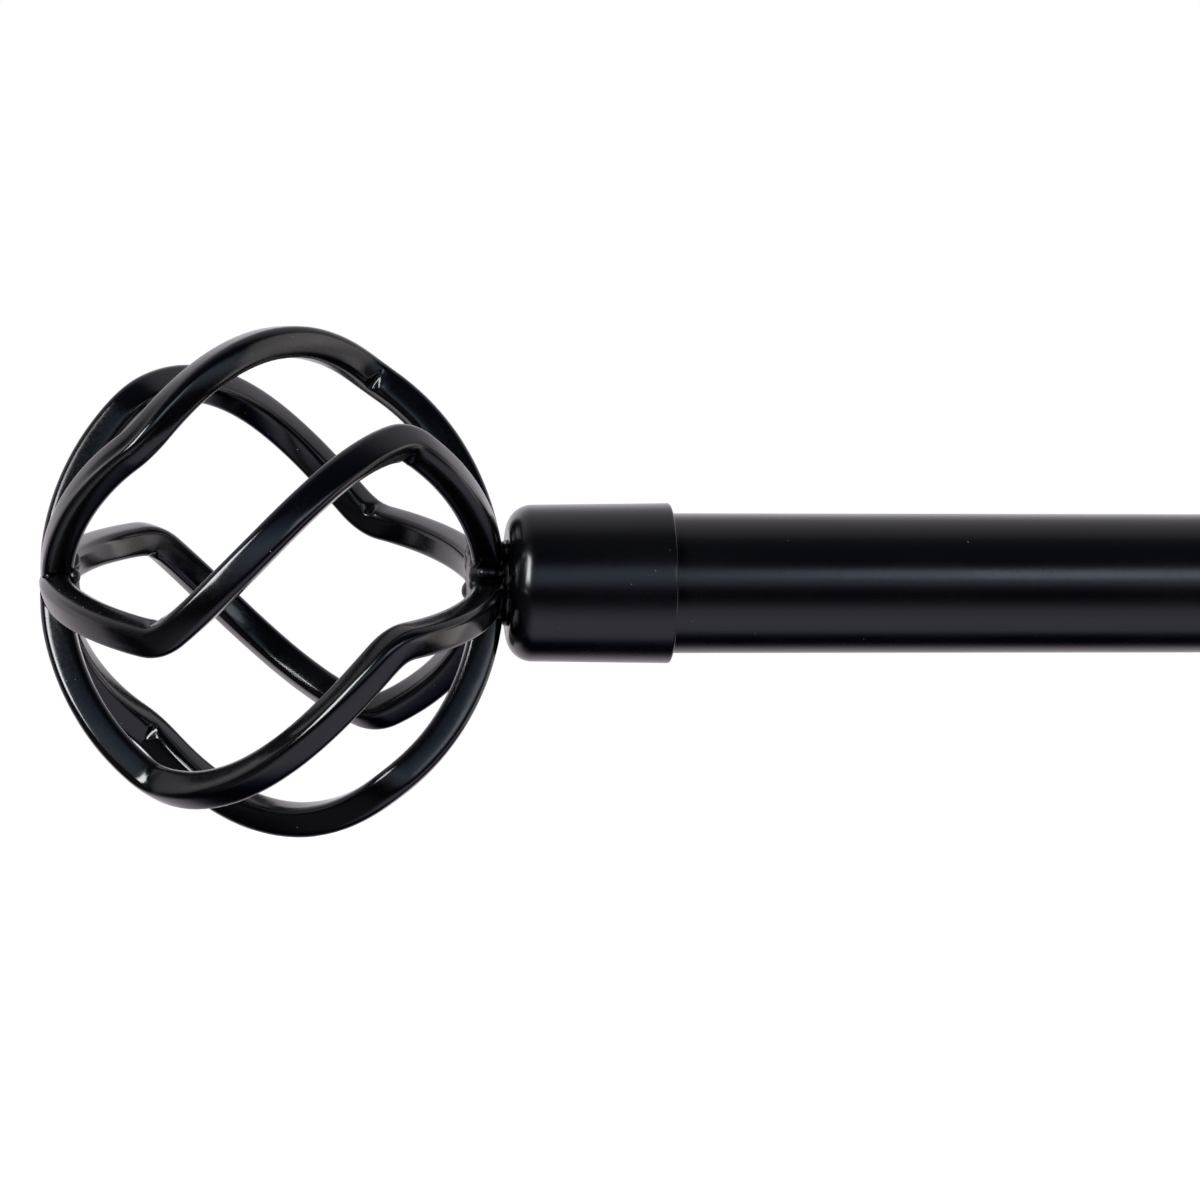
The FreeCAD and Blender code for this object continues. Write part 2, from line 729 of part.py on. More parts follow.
def arm(side):
    """Round bar, coped at its front end to the cradle's back. Drawn from the rod's axis."""
    body = new_body(f"{side}_arm")
    inner_end = "projection - plate_thickness - socket_length + arm_engagement"
    corners = [("0", "0"), (ARM_R, "0"), (ARM_R, inner_end), ("0", inner_end)]
    revolve(body, outline(body, "XY_Plane", corners), "V_Axis")
    fillet(body, "arm_end_round", ring_at("y", inner_end, ARM_R))
    pocket(body, cup_outline(body, CUP_OUTER, "arm_diameter", "cope"), "2 * arm_diameter", symmetric=True)
    place(body, BRACKETS[side], ROD_Y)


def arm_screw(side):
    tip = f"{ARM_R} + screw_tip_gap"
    seat = f"{SOCKET_R} + push_clearance"
    body = pan_screw(f"{side}_arm_screw", "arm_screw_diameter", tip, seat)
    inset = "0 - plate_thickness - socket_length + arm_screw_inset"
    place(body, BRACKETS[side], inset, turn=Rotation(Vector(1, 0, 0), -90))


def cradle(side):
    body = new_body(f"{side}_cradle")
    pad(body, cup_outline(body, CUP_OUTER, "cradle_lip", "outside"), "cradle_width", symmetric=True)
    hollow = cup_outline(body, CUP_INNER, "cradle_lip + 1", "inside")
    pocket(body, hollow, "2 * cradle_width", symmetric=True)
    lip = size("cradle_lip")
    width = size("cradle_width")

    def lip_edge(edge):
        return edge.CenterOfMass.z > lip - 1e-4 and abs(edge.Length - width) < 1e-4

    fillet(body, "cradle_lip_round", lip_edge)
    hole = f"{LOCK_R} + lock_hole_clearance"
    pocket(body, circles(body, "XY_Plane", [(hole, "0", "0")], "screw_hole"), f"{CUP_OUTER} + 1")
    place(body, BRACKETS[side], ROD_Y)


def lock_nut(side):
    """Weld nut under the cradle, its top hollowed to the cradle's curve."""
    body = new_body(f"{side}_lock_nut")
    drop = f"0 - {LOCK_NUT_FOOT}"
    sketch = hexagon(body, "XY_Plane", "lock_nut_flats")
    sketch.AttachmentOffset = Placement(Vector(0, 0, size(drop)), Rotation())
    bind(sketch, "AttachmentOffset.Base.z", drop)
    pad(body, sketch, "lock_nut_height")
    bore = circles(body, "XY_Plane", [(f"{LOCK_R} + push_clearance", "0", "0")], "bore")
    pocket(body, bore, f"{LOCK_NUT_FOOT} + 1")
    pocket(body, cup_outline(body, CUP_OUTER, "cradle_lip", "seat"), "2 * lock_nut_flats", symmetric=True)
    place(body, BRACKETS[side], ROD_Y)


def lock_stud(side):
    """Threaded stud of the thumb screw. Its tip stops just short of the tube."""
    body = new_body(f"{side}_lock_stud")
    tip = f"0 - {OUTER_R} - screw_tip_gap"
    end = f"0 - {KNOB_TOP} - knob_height + knob_cover + push_clearance"
    corners = [("0", tip), (LOCK_R, tip), (LOCK_R, end), ("0", end)]
    revolve(body, outline(body, "XZ_Plane", corners), "V_Axis")
    chamfer(body, "lock_diameter / 8", ring_at("z", tip, LOCK_R))
    place(body, BRACKETS[side], ROD_Y)


def lock_knob(side):
    """Fluted knob on the end of the stud."""
    body = new_body(f"{side}_lock_knob")
    top = f"0 - {KNOB_TOP}"
    foot = f"{top} - knob_height"
    rim = "knob_diameter / 2"
    bore = f"{LOCK_R} + push_clearance"
    cover = f"{foot} + knob_cover"
    corners = [("0", foot), (rim, foot), (rim, top), (bore, top), (bore, cover), ("0", cover)]
    revolve(body, outline(body, "XZ_Plane", corners), "V_Axis")
    fillet(body, "knob_edge_round", any_of(ring_at("z", top, rim), ring_at("z", foot, rim)))
    flute = circles(body, "XY_Plane", [("flute_radius", rim, "0")], "flute")
    cut = pocket(body, flute, f"{KNOB_TOP} + knob_height + 1")
    ring = body.newObject("PartDesign::PolarPattern", f"{body.Label}_flutes")
    ring.Originals = [cut]
    ring.Axis = (flute, ["N_Axis"])
    ring.Angle = 360
    bind(ring, "Occurrences", "flute_count")
    body.Tip = ring
    doc.recompute()
    place(body, BRACKETS[side], ROD_Y)


# ---------------------------------------------------------------- build
tube("outer_tube", "outer_tube_diameter", "outer_tube_wall", "outer_tube_length", LEFT_TUBE_END)
tube("inner_tube", "inner_tube_diameter", "inner_tube_wall", "inner_tube_length", INNER_TUBE_START)
inner_bush()
mouth_bush()
for side in FINIALS:
    finial_cap(side)
    neck_collar(side)
    finial_stud(side)
    finial_washer(side)
    finial_nut(side)
    finial_screw(side)
    cage_bars(side)
reducer_sleeve()
for side in BRACKETS:
    wall_plate(side)
    arm_socket(side)
    socket_screw(side)
    arm(side)
    arm_screw(side)
    cradle(side)
    lock_nut(side)
    lock_stud(side)
    lock_knob(side)
doc.recompute()

for thing in doc.Objects:
    if {"Invalid", "Error"} & set(thing.State):
        raise RuntimeError(f"{thing.Label} failed: {thing.State}")
for part in subparts:
    if part.Shape.isNull() or not part.Shape.isValid() or part.Shape.Volume <= 0:
        raise RuntimeError(f"{part.Label} has no sound shape")

os.makedirs("parts", exist_ok=True)
for part in subparts:
    part.Shape.exportStep(f"parts/{part.Label}.step")
print(f"{len(subparts)} sub-parts written")
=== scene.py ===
"""The looks of an extendable curtain rod with twisted-cage finials and two wall brackets.

Everything is in metres, in the frame of the solids: +X along the rod, +Y into the wall, +Z up.
"""
import json
import math
from collections import namedtuple

import bpy
from mathutils import Matrix, Vector
from mathutils.noise import noise as noise_at


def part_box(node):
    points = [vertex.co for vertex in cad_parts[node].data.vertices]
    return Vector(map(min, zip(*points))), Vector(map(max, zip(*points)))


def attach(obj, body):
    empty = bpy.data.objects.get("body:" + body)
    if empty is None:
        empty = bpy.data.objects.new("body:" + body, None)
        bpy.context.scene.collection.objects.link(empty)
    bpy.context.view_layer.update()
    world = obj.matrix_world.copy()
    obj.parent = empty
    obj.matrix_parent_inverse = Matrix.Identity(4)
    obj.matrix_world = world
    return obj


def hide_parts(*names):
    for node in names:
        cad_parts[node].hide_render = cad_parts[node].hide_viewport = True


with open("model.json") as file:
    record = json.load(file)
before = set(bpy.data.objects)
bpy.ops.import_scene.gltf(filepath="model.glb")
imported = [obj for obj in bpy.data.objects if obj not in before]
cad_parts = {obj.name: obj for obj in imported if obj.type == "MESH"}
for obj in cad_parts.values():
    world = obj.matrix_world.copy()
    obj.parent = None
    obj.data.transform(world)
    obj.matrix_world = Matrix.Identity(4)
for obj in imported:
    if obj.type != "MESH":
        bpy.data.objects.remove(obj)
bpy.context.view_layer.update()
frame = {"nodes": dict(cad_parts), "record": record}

MM = 0.001
SIDES = ("left", "right")
TURNED_SEGMENTS = 128
SHARP_ANGLE = math.radians(34)
MERGE_DISTANCE = 0.002 * MM
RING_SLACK = 0.003 * MM
Z_TO_X = Matrix.Rotation(math.radians(90), 4, "Y")
Z_TO_Y = Matrix.Rotation(math.radians(-90), 4, "X")
HALF_TURN = Matrix.Rotation(math.radians(180), 4, "Y")


# ---------------------------------------------------------------- places, read from the frame
def middle(node):
    low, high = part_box(node)
    return (low + high) / 2


def radius_of(node):
    """Half the height of a round node that lies along the rod."""
    low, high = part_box(node)
    return (high.z - low.z) / 2


ROD_Y = middle("outer_tube").y
TUBE_R = radius_of("outer_tube")
TUBE_WALL = 0.8 * MM
TUBE_EDGE_ROUND = 0.2 * MM
INNER_TUBE_R = radius_of("inner_tube")
CAP_R = radius_of("left_finial_cap")
CAP_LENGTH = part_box("left_finial_cap")[1].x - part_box("left_finial_cap")[0].x
CAP_FLARE = 0.4 * MM
CAP_WALL = 1.2 * MM
CAP_CORNER = 4.5 * MM
CAP_RIM_ROUND = 0.4 * MM
STUD_HOLE = 3.1 * MM
LEFT_CAP_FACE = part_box("left_finial_cap")[0].x
RIGHT_CAP_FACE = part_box("right_finial_cap")[1].x

# the cage, whose centre is on the rod's axis beyond the cap
BAR_SIZE = 5.8 * MM
BAR_CORNER = 1.2 * MM
BAR_COUNT = 6
COLLAR_STAND = 0.5 * MM
CAGE_OUTER_R = 46.47 * MM
CAGE_HALF_LENGTH = 41.7 * MM
CAGE_RADIUS = CAGE_OUTER_R - BAR_SIZE / 2  # to the middle of a bar
CAGE_REACH = CAGE_HALF_LENGTH - BAR_SIZE / 2
CAGE_CENTRE = -(COLLAR_STAND + CAGE_HALF_LENGTH)
CAGE_TWIST = math.radians(57.5)  # from the tip to the neck
CAGE_PHASE = math.radians(-15)  # of the first bar at the tip, as spoke() counts it


# ---------------------------------------------------------------- modelling helpers
def start_clean():
    """Nothing selected, in object mode."""
    if bpy.context.mode != "OBJECT":
        bpy.ops.object.mode_set(mode="OBJECT")
    bpy.ops.object.select_all(action="DESELECT")


def edit(piece):
    """Edit mode on the piece, with nothing picked."""
    start_clean()
    bpy.context.view_layer.objects.active = piece
    piece.select_set(True)
    bpy.ops.object.mode_set(mode="EDIT")
    bpy.ops.mesh.select_all(action="DESELECT")


def pick(piece, kind, wanted):
    """Selects the piece's edges or faces for which wanted(element, mesh) is true."""
    bpy.ops.object.mode_set(mode="OBJECT")
    mesh = piece.data
    for group in (mesh.vertices, mesh.edges, mesh.polygons):
        group.foreach_set("select", [False] * len(group))
    for element in getattr(mesh, kind):
        element.select = wanted(element, mesh)
    bpy.ops.object.mode_set(mode="EDIT")
    bpy.ops.mesh.select_mode(type={"edges": "EDGE", "polygons": "FACE"}[kind])


def edge_ends(edge, mesh):
    return mesh.vertices[edge.vertices[0]].co, mesh.vertices[edge.vertices[1]].co


def new_piece(name):
    """The primitive just added, named and with its place moved into its mesh."""
    piece = bpy.context.active_object
    piece.name = name
    piece.data.name = name
    settle(piece)
    return piece


def settle(piece):
    """Moves the object's place, turn and scale into its mesh."""
    bpy.context.view_layer.update()
    piece.data.transform(piece.matrix_world)
    piece.matrix_world = Matrix.Identity(4)


def smooth(piece, angle=SHARP_ANGLE):
    """Smooth shading, but for the edges sharper than the angle."""
    start_clean()
    bpy.context.view_layer.objects.active = piece
    piece.select_set(True)
    bpy.ops.object.shade_smooth_by_angle(angle=angle)
    piece.select_set(False)


def apply_modifiers(piece):
    start_clean()
    bpy.context.view_layer.objects.active = piece
    piece.select_set(True)
    for modifier in list(piece.modifiers):
        bpy.ops.object.modifier_apply(modifier=modifier.name)


def cut_away(piece, cutter):
    """Takes the cutter's shape out of the piece."""
    cut = piece.modifiers.new("cut", "BOOLEAN")
    cut.operation = "DIFFERENCE"
    cut.solver = "EXACT"
    cut.object = cutter
    apply_modifiers(piece)


def tidy_mesh(piece):
    """Merges doubles and turns every face outwards."""
    edit(piece)
    bpy.ops.mesh.select_all(action="SELECT")
    bpy.ops.mesh.remove_doubles(threshold=MERGE_DISTANCE)
    bpy.ops.mesh.normals_make_consistent(inside=False)
    start_clean()


def copy_of(piece, name, matrix):
    """A copy with its own mesh, moved by the matrix."""
    twin = piece.copy()
    twin.data = piece.data.copy()
    twin.name = name
    twin.data.name = name
    bpy.context.scene.collection.objects.link(twin)
    twin.data.transform(matrix)
    return twin


def finish_piece(piece, body, material, slot, *nodes):
    """Gives a new piece its finish, its body and the nodes that it stands for."""
    piece.data.materials.clear()
    piece.data.materials.append(material)
    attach(piece, body)
    if nodes:
        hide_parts(*nodes)


def turned(name, profile, rounds=(), segments=TURNED_SEGMENTS):
    """A piece turned about Z: a circle extruded and resized from one station to the next.

    profile is a list of (height, radius). Where the last station is the first, the piece is a ring.
    rounds lists (height, radius, size, steps) of the corners to be rounded."""
    start_clean()
    height, radius = profile[0]
    bpy.ops.mesh.primitive_circle_add(vertices=segments, radius=radius, location=(0, 0, height))
    piece = new_piece(name)
    edit(piece)
    bpy.ops.mesh.select_all(action="SELECT")
    for next_height, next_radius in profile[1:]:
        rise = (0, 0, next_height - height)
        bpy.ops.mesh.extrude_edges_move(TRANSFORM_OT_translate={"value": rise})
        share = next_radius / radius
        bpy.ops.transform.resize(value=(share, share, 1), center_override=(0, 0, next_height))
        height, radius = next_height, next_radius
    if profile[-1] != profile[0]:
        bpy.ops.mesh.edge_face_add()
        first_height, first_radius = profile[0]
        pick(piece, "edges", ring_test(first_height, first_radius))
        bpy.ops.mesh.edge_face_add()
    tidy_mesh(piece)
    for at_height, at_radius, size, steps in rounds:
        edit(piece)
        pick(piece, "edges", ring_test(at_height, at_radius))
        bpy.ops.mesh.bevel(offset=size, segments=steps, affect="EDGES")
    start_clean()
    return piece


def ring_test(height, radius):
    """True for the edges of the ring at that height and radius."""

    def wanted(edge, mesh):
        for end in edge_ends(edge, mesh):
            if abs(end.z - height) > RING_SLACK:
                return False
            if abs(math.hypot(end.x, end.y) - radius) > RING_SLACK:
                return False
        return True

    return wanted


def lay_along(piece, axis_matrix, place):
    """Turns a piece that stands on the origin to its axis, and moves it to its place."""
    piece.data.transform(Matrix.Translation(place) @ axis_matrix)


# ---------------------------------------------------------------- shared effects
def node_group(name, inputs, outputs):
    """An empty shader group with float inputs {name: default} and outputs of the given types."""
    group = bpy.data.node_groups.new(name, "ShaderNodeTree")
    group.interface.new_socket("Vector", in_out="INPUT", socket_type="NodeSocketVector")
    for label, default in inputs.items():
        socket = group.interface.new_socket(label, in_out="INPUT", socket_type="NodeSocketFloat")
        socket.default_value = default
    for label, kind in outputs.items():
        group.interface.new_socket(label, in_out="OUTPUT", socket_type=kind)
    return group, group.nodes.new("NodeGroupInput"), group.nodes.new("NodeGroupOutput")


def math_node(tree, operation, first, second=None, third=None):
    node = tree.nodes.new("ShaderNodeMath")
    node.operation = operation
    for slot_number, value in enumerate((first, second, third)):
        if value is None:
            continue
        if isinstance(value, bpy.types.NodeSocket):
            tree.links.new(value, node.inputs[slot_number])
        else:
            node.inputs[slot_number].default_value = value
    return node.outputs[0]


def noise(tree, vector, scale, detail=2.0, roughness=0.5):
    node = tree.nodes.new("ShaderNodeTexNoise")
    tree.links.new(vector, node.inputs["Vector"])
    if isinstance(scale, bpy.types.NodeSocket):
        tree.links.new(scale, node.inputs["Scale"])
    else:
        node.inputs["Scale"].default_value = scale
    node.inputs["Detail"].default_value = detail
    node.inputs["Roughness"].default_value = roughness
    return node.outputs["Fac"]


def coat_texture_group():
    """Powder coat: an orange peel, a fine grain on it, and patches where it is a little duller."""
    defaults = {
        "Peel Scale": 900.0,
        "Grain Scale": 5000.0,
        "Grain Share": 0.5,
        "Roughness": 0.3,
        "Unevenness": 0.05,
    }
    outputs = {"Height": "NodeSocketFloat", "Roughness": "NodeSocketFloat"}
    group, inside, outside = node_group("coat_texture", defaults, outputs)
    vector = inside.outputs["Vector"]
    peel = noise(group, vector, inside.outputs["Peel Scale"], 1.5)
    grain = noise(group, vector, inside.outputs["Grain Scale"], 2.0, 0.6)
    grain = math_node(group, "MULTIPLY", grain, inside.outputs["Grain Share"])
    group.links.new(math_node(group, "ADD", peel, grain), outside.inputs["Height"])
    patch_scale, fine_scale, fine_share, spread = 55.0, 1400.0, 0.7, 4.0
    patches = math_node(group, "SUBTRACT", noise(group, vector, patch_scale, 4.0, 0.6), 0.5)
    fine = math_node(group, "SUBTRACT", noise(group, vector, fine_scale, 2.0), 0.5)
    uneven = math_node(group, "ADD", patches, math_node(group, "MULTIPLY", fine, fine_share))
    amount = math_node(group, "MULTIPLY", inside.outputs["Unevenness"], spread)
    uneven = math_node(group, "MULTIPLY", uneven, amount)
    roughness = math_node(group, "ADD", inside.outputs["Roughness"], uneven)
    group.links.new(roughness, outside.inputs["Roughness"])
    return group


def dust_group():
    """Tiny specks of lint and dust. The mask is 1 on a speck."""
    group, inside, outside = node_group(
        "dust", {"Spacing": 700.0, "Speck": 0.07, "Share": 0.25}, {"Mask": "NodeSocketFloat"}
    )
    cells = group.nodes.new("ShaderNodeTexVoronoi")
    group.links.new(inside.outputs["Vector"], cells.inputs["Vector"])
    group.links.new(inside.outputs["Spacing"], cells.inputs["Scale"])
    shade = group.nodes.new("ShaderNodeSeparateColor")
    group.links.new(cells.outputs["Color"], shade.inputs["Color"])
    kept = math_node(group, "LESS_THAN", shade.outputs[0], inside.outputs["Share"])
    reach = math_node(group, "MULTIPLY", inside.outputs["Speck"], shade.outputs[1])
    near = math_node(group, "LESS_THAN", cells.outputs["Distance"], reach)
    group.links.new(math_node(group, "MULTIPLY", near, kept), outside.inputs["Mask"])
    return group


def drawn_lines_group():
    """Short drawn lines along X, for bare turned and drawn steel. The mask is above 0 in a line."""
    group, inside, outside = node_group(
        "drawn_lines", {"Fineness": 3500.0, "Amount": 0.5}, {"Mask": "NodeSocketFloat"}
    )
    stretch = group.nodes.new("ShaderNodeMapping")
    stretch.inputs["Scale"].default_value = (0.03, 1.0, 1.0)
    group.links.new(inside.outputs["Vector"], stretch.inputs["Vector"])
    lines = noise(group, stretch.outputs["Vector"], inside.outputs["Fineness"], 2.0, 0.7)
    centred = math_node(group, "SUBTRACT", lines, 0.5)
    strong = math_node(group, "MULTIPLY", centred, inside.outputs["Amount"])
    group.links.new(strong, outside.inputs["Mask"])
    return group


COAT_TEXTURE = coat_texture_group()
DUST = dust_group()
DRAWN_LINES = drawn_lines_group()


# ---------------------------------------------------------------- materials
def place_group(tree, group, vector, **values):
    """The shared group as a node, with its inputs set. An underscore stands for a space."""
    node = tree.nodes.new("ShaderNodeGroup")
    node.node_tree = group
    tree.links.new(vector, node.inputs["Vector"])
    for label, value in values.items():
        node.inputs[label.replace("_", " ")].default_value = value
    return node


def new_material(name):
    """A material, its Principled shader and its Object coordinates."""
    material = bpy.data.materials.new(name)
    material.use_nodes = True
    tree = material.node_tree
    shader = tree.nodes["Principled BSDF"]
    coordinates = tree.nodes.new("ShaderNodeTexCoord")
    return material, tree, shader, coordinates.outputs["Object"]


def mix_colours(tree, mask, plain, marked):
    """The plain colour where the mask is 0, the marked one where it is 1."""
    mix = tree.nodes.new("ShaderNodeMix")
    mix.data_type = "RGBA"
    tree.links.new(mask, mix.inputs["Factor"])
    for socket, colour in ((mix.inputs["A"], plain), (mix.inputs["B"], marked)):
        socket.default_value = (*colour, 1)
    return mix.outputs["Result"]


def bump(tree, shader, height, depth):
    """depth is the height, in metres, of the tallest bump."""
    node = tree.nodes.new("ShaderNodeBump")
    node.inputs["Distance"].default_value = depth
    tree.links.new(height, node.inputs["Height"])
    tree.links.new(node.outputs["Normal"], shader.inputs["Normal"])


DUST_COLOUR = (0.35, 0.34, 0.33)
DARK_LINE_SHARE = 0.72


def black_coat(name, colour, roughness, peel, depth, unevenness, dust_share):
    """Baked black powder coat on steel."""
    material, tree, shader, vector = new_material(name)
    coat = place_group(
        tree, COAT_TEXTURE, vector, Peel_Scale=peel, Roughness=roughness, Unevenness=unevenness
    )
    dust = place_group(tree, DUST, vector, Share=dust_share)
    dusted = mix_colours(tree, dust.outputs["Mask"], colour, DUST_COLOUR)
    tree.links.new(dusted, shader.inputs["Base Color"])
    rough = math_node(tree, "MAXIMUM", coat.outputs["Roughness"], dust.outputs["Mask"])
    tree.links.new(rough, shader.inputs["Roughness"])
    bump(tree, shader, coat.outputs["Height"], depth)
    return material


def bare_steel(name, colour, roughness, lines, depth):
    """Plated or oiled steel with drawn lines."""
    material, tree, shader, vector = new_material(name)
    shader.inputs["Metallic"].default_value = 1.0
    drawn = place_group(tree, DRAWN_LINES, vector, Amount=lines)
    coat = place_group(
        tree, COAT_TEXTURE, vector, Peel_Scale=1500.0, Roughness=roughness, Unevenness=0.08
    )
    tint = math_node(tree, "ADD", drawn.outputs["Mask"], 0.5)
    darker = tuple(channel * DARK_LINE_SHARE for channel in colour)
    tree.links.new(mix_colours(tree, tint, darker, colour), shader.inputs["Base Color"])
    rough = math_node(tree, "ADD", coat.outputs["Roughness"], drawn.outputs["Mask"])
    tree.links.new(rough, shader.inputs["Roughness"])
    bump(tree, shader, coat.outputs["Height"], depth)
    return material


def black_nylon():
    """Moulded nylon, a little cloudy."""
    material, tree, shader, vector = new_material("black_nylon")
    coat = place_group(
        tree, COAT_TEXTURE, vector, Peel_Scale=2500.0, Roughness=0.55, Unevenness=0.06
    )
    cloud = noise(tree, vector, 300.0, 3.0)
    clouded = mix_colours(tree, cloud, (0.012, 0.012, 0.013), (0.022, 0.022, 0.023))
    tree.links.new(clouded, shader.inputs["Base Color"])
    tree.links.new(coat.outputs["Roughness"], shader.inputs["Roughness"])
    bump(tree, shader, coat.outputs["Height"], depth=0.01 * MM)
    return material


SATIN_BLACK = black_coat(
    "satin_black_coat",
    colour=(0.0018, 0.0018, 0.002),
    roughness=0.21,
    peel=1100.0,
    depth=0.006 * MM,
    unevenness=0.03,
    dust_share=0.2,
)
GLOSS_BLACK = black_coat(
    "gloss_black_coat",
    colour=(0.0012, 0.0012, 0.0014),
    roughness=0.16,
    peel=700.0,
    depth=0.005 * MM,
    unevenness=0.05,
    dust_share=0.2,
)
WELD_BLACK = black_coat(
    "weld_black_coat",
    colour=(0.0012, 0.0012, 0.0014),
    roughness=0.3,
    peel=1300.0,
    depth=0.02 * MM,
    unevenness=0.1,
    dust_share=0.5,
)
ZINC = bare_steel(
    "zinc_steel", colour=(0.6, 0.61, 0.63), roughness=0.32, lines=0.5, depth=0.004 * MM
)
BLACK_OXIDE = bare_steel(
    "black_steel", colour=(0.07, 0.07, 0.075), roughness=0.36, lines=0.4, depth=0.004 * MM
)
NYLON = black_nylon()
FINISHES = {
    "satin_black_coat": SATIN_BLACK,
    "gloss_black_coat": GLOSS_BLACK,
    "zinc_steel": ZINC,
    "black_steel": BLACK_OXIDE,
    "nylon": NYLON,
}


def finish_solids():
    """Every carried-over solid gets the finish of its material slot."""
    for subpart in frame["record"]["subparts"]:
        node = frame["nodes"][subpart["node"]]
        node.data.materials.clear()
        node.data.materials.append(FINISHES[subpart["material_slot"]])


# ---------------------------------------------------------------- rod
HOLDING_GAP = 0.4 * MM  # from a rounded edge to the ring that keeps its shading off the long face


def tube_piece(node, body, radius):
    """A welded steel tube with softened ends."""
    low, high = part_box(node)
    bore = radius - TUBE_WALL
    length = high.x - low.x
    hold = TUBE_EDGE_ROUND + HOLDING_GAP
    profile = [(0, bore), (0, radius), (hold, radius), (length - hold, radius), (length, radius)]
    profile += [(length, bore), (0, bore)]
    rounds = [(0, radius, TUBE_EDGE_ROUND, 3), (length, radius, TUBE_EDGE_ROUND, 3)]
    piece = turned(f"{node}_skin", profile, rounds)
    lay_along(piece, Z_TO_X, (low.x, ROD_Y, 0))
    smooth(piece)
    finish_piece(piece, body, SATIN_BLACK, "satin_black_coat", node)


# ---------------------------------------------------------------- finials
def finial_matrix(side):
    """Takes a finial's own frame, with its cap's end face at the origin, to its end of the rod."""
    if side == "left":
        return Matrix.Translation((LEFT_CAP_FACE, ROD_Y, 0))
    return Matrix.Translation((RIGHT_CAP_FACE, ROD_Y, 0)) @ HALF_TURN


def finial_cap():
    """The drawn cap, with a big soft corner, a slight flare and a thin rim."""
    closed_r = CAP_R - CAP_FLARE
    rim_bore = CAP_R - CAP_WALL
    closed_bore = closed_r - CAP_WALL
    corner_end = CAP_CORNER + HOLDING_GAP
    rim_start = CAP_LENGTH - CAP_RIM_ROUND - HOLDING_GAP

    def flared(height):
        return closed_r + CAP_FLARE * height / CAP_LENGTH

    profile = [
        (0, STUD_HOLE),
        (0, closed_r),
        (corner_end, flared(corner_end)),
        (rim_start, flared(rim_start)),
        (CAP_LENGTH, CAP_R),
        (CAP_LENGTH, rim_bore),
        (CAP_WALL, closed_bore),
        (CAP_WALL, STUD_HOLE),
        (0, STUD_HOLE),
    ]
    rounds = [
        (0, closed_r, CAP_CORNER, 24),
        (CAP_WALL, closed_bore, CAP_CORNER - CAP_WALL, 12),
        (CAP_LENGTH, CAP_R, CAP_RIM_ROUND, 6),
        (CAP_LENGTH, rim_bore, CAP_RIM_ROUND, 6),
    ]
    piece = turned("left_finial_cap_shell", profile, rounds, segments=160)
    piece.data.transform(Z_TO_X)
    smooth(piece)
    return piece


# ---------------------------------------------------------------- cage
# Every bar is bent by hand, so each has its own habits: where it starts and stops turning (its two
# bends), how far it leans before and after its turn, and how its section is rolled at the tip, in
# the middle and at the neck. All of these are in degrees. The drag mark beside the first bend is in
# millimetres, and the folds are how deep the inside of each bend is pinched, as a share of
# PINCH_DEPTH.
BarHabits = namedtuple("BarHabits", "start end leans rolls drag folds")
BAR_HABITS = (
    BarHabits(57.5, 125.0, (-1.6, 2.0), (17, 2, -2), 0.1, (0.4, 0.8)),
    BarHabits(51.5, 118.5, (-0.3, 0.0), (3, -8, -4), 0.5, (1.0, 1.0)),
    BarHabits(50.0, 120.5, (-6.5, -1.6), (-5, 3, 4), 0.1, (0.8, 0.8)),
    BarHabits(57.5, 121.5, (2.0, -2.5), (4, -3, -5), 0.15, (0.6, 0.8)),
    BarHabits(56.5, 122.5, (3.5, 0.4), (-3, 5, 2), 0.2, (0.9, 0.8)),
    BarHabits(56.8, 120.5, (0.0, 1.5), (8, -2, 6), 0.25, (0.25, 0.8)),
)
TURN_SPREAD = 0.07  # how soft the start and the end of a bar's turn are, as a share of the turn
BAR_STATIONS = 319  # cuts across a bar, from tip to neck
FACE_STRIPS = 5
FACE_CROWN = 0.06  # how much lower a face's edges are than its middle, as a share of half its width
PINCH_WIDTH = 2.3 * MM
PINCH_DEPTH = 1.5 * MM
PINCH_REACH = 1.5  # how far up the side of the section a pinch reaches, in half sizes
SWELL = 0.16 * MM  # how far the metal beside a pinch is pushed out
SWELL_WIDTH = 1.6 * MM
SWELL_LEAST = 0.3  # the share of it that is left on the outer face
DRAG_PLACE = 0.12  # radians from the drag mark's middle to the first bend
DRAG_LENGTH = 0.2  # radians
DRAG_OFFSET = 0.5  # from the middle of the outer face, in half sizes, and so is the width
DRAG_WIDTH = 0.22
OUTER_FACE = 0.9  # half sizes out from the bar's middle, where its outer face begins
COAT_WAVE = 0.05 * MM
WAVE_LENGTH = 6 * MM
FINE_WAVE_LENGTH = 1.6 * MM
FINE_WAVE_SHARE = 0.15
MITRE_GAP = 0.07 * MM
TIP_DIP = 0.35 * MM
TIP_DIP_REACH = 5 * MM
BAR_SMOOTH_ANGLE = math.radians(50)
ROLL_RATE = 4  # the section has its middle roll from a quarter to three quarters of the turn
SLOPE_STEP = 1e-3  # radians
FINE_STEPS = 3000  # of the half turn from tip to neck, for placing the stations
BEND_ZONE = 0.08  # radians to each side of a bend, where the stations are closer together
BEND_CROWDING = 3.0


def turning(share):
    """How far a bar has turned, from 0 to 1, at a share of its turn, with soft corners."""
    if share <= -TURN_SPREAD:
        return 0.0
    if share >= 1 + TURN_SPREAD:
        return 1.0
    if share < TURN_SPREAD:
        return (share + TURN_SPREAD) ** 2 / (4 * TURN_SPREAD)
    if share > 1 - TURN_SPREAD:
        return 1.0 - (1 + TURN_SPREAD - share) ** 2 / (4 * TURN_SPREAD)
    return share


def spoke(angle):
    """Direction away from the rod's axis: straight at the room at 0, straight up at 90 degrees."""
    return Vector((0, -math.cos(angle), math.sin(angle)))


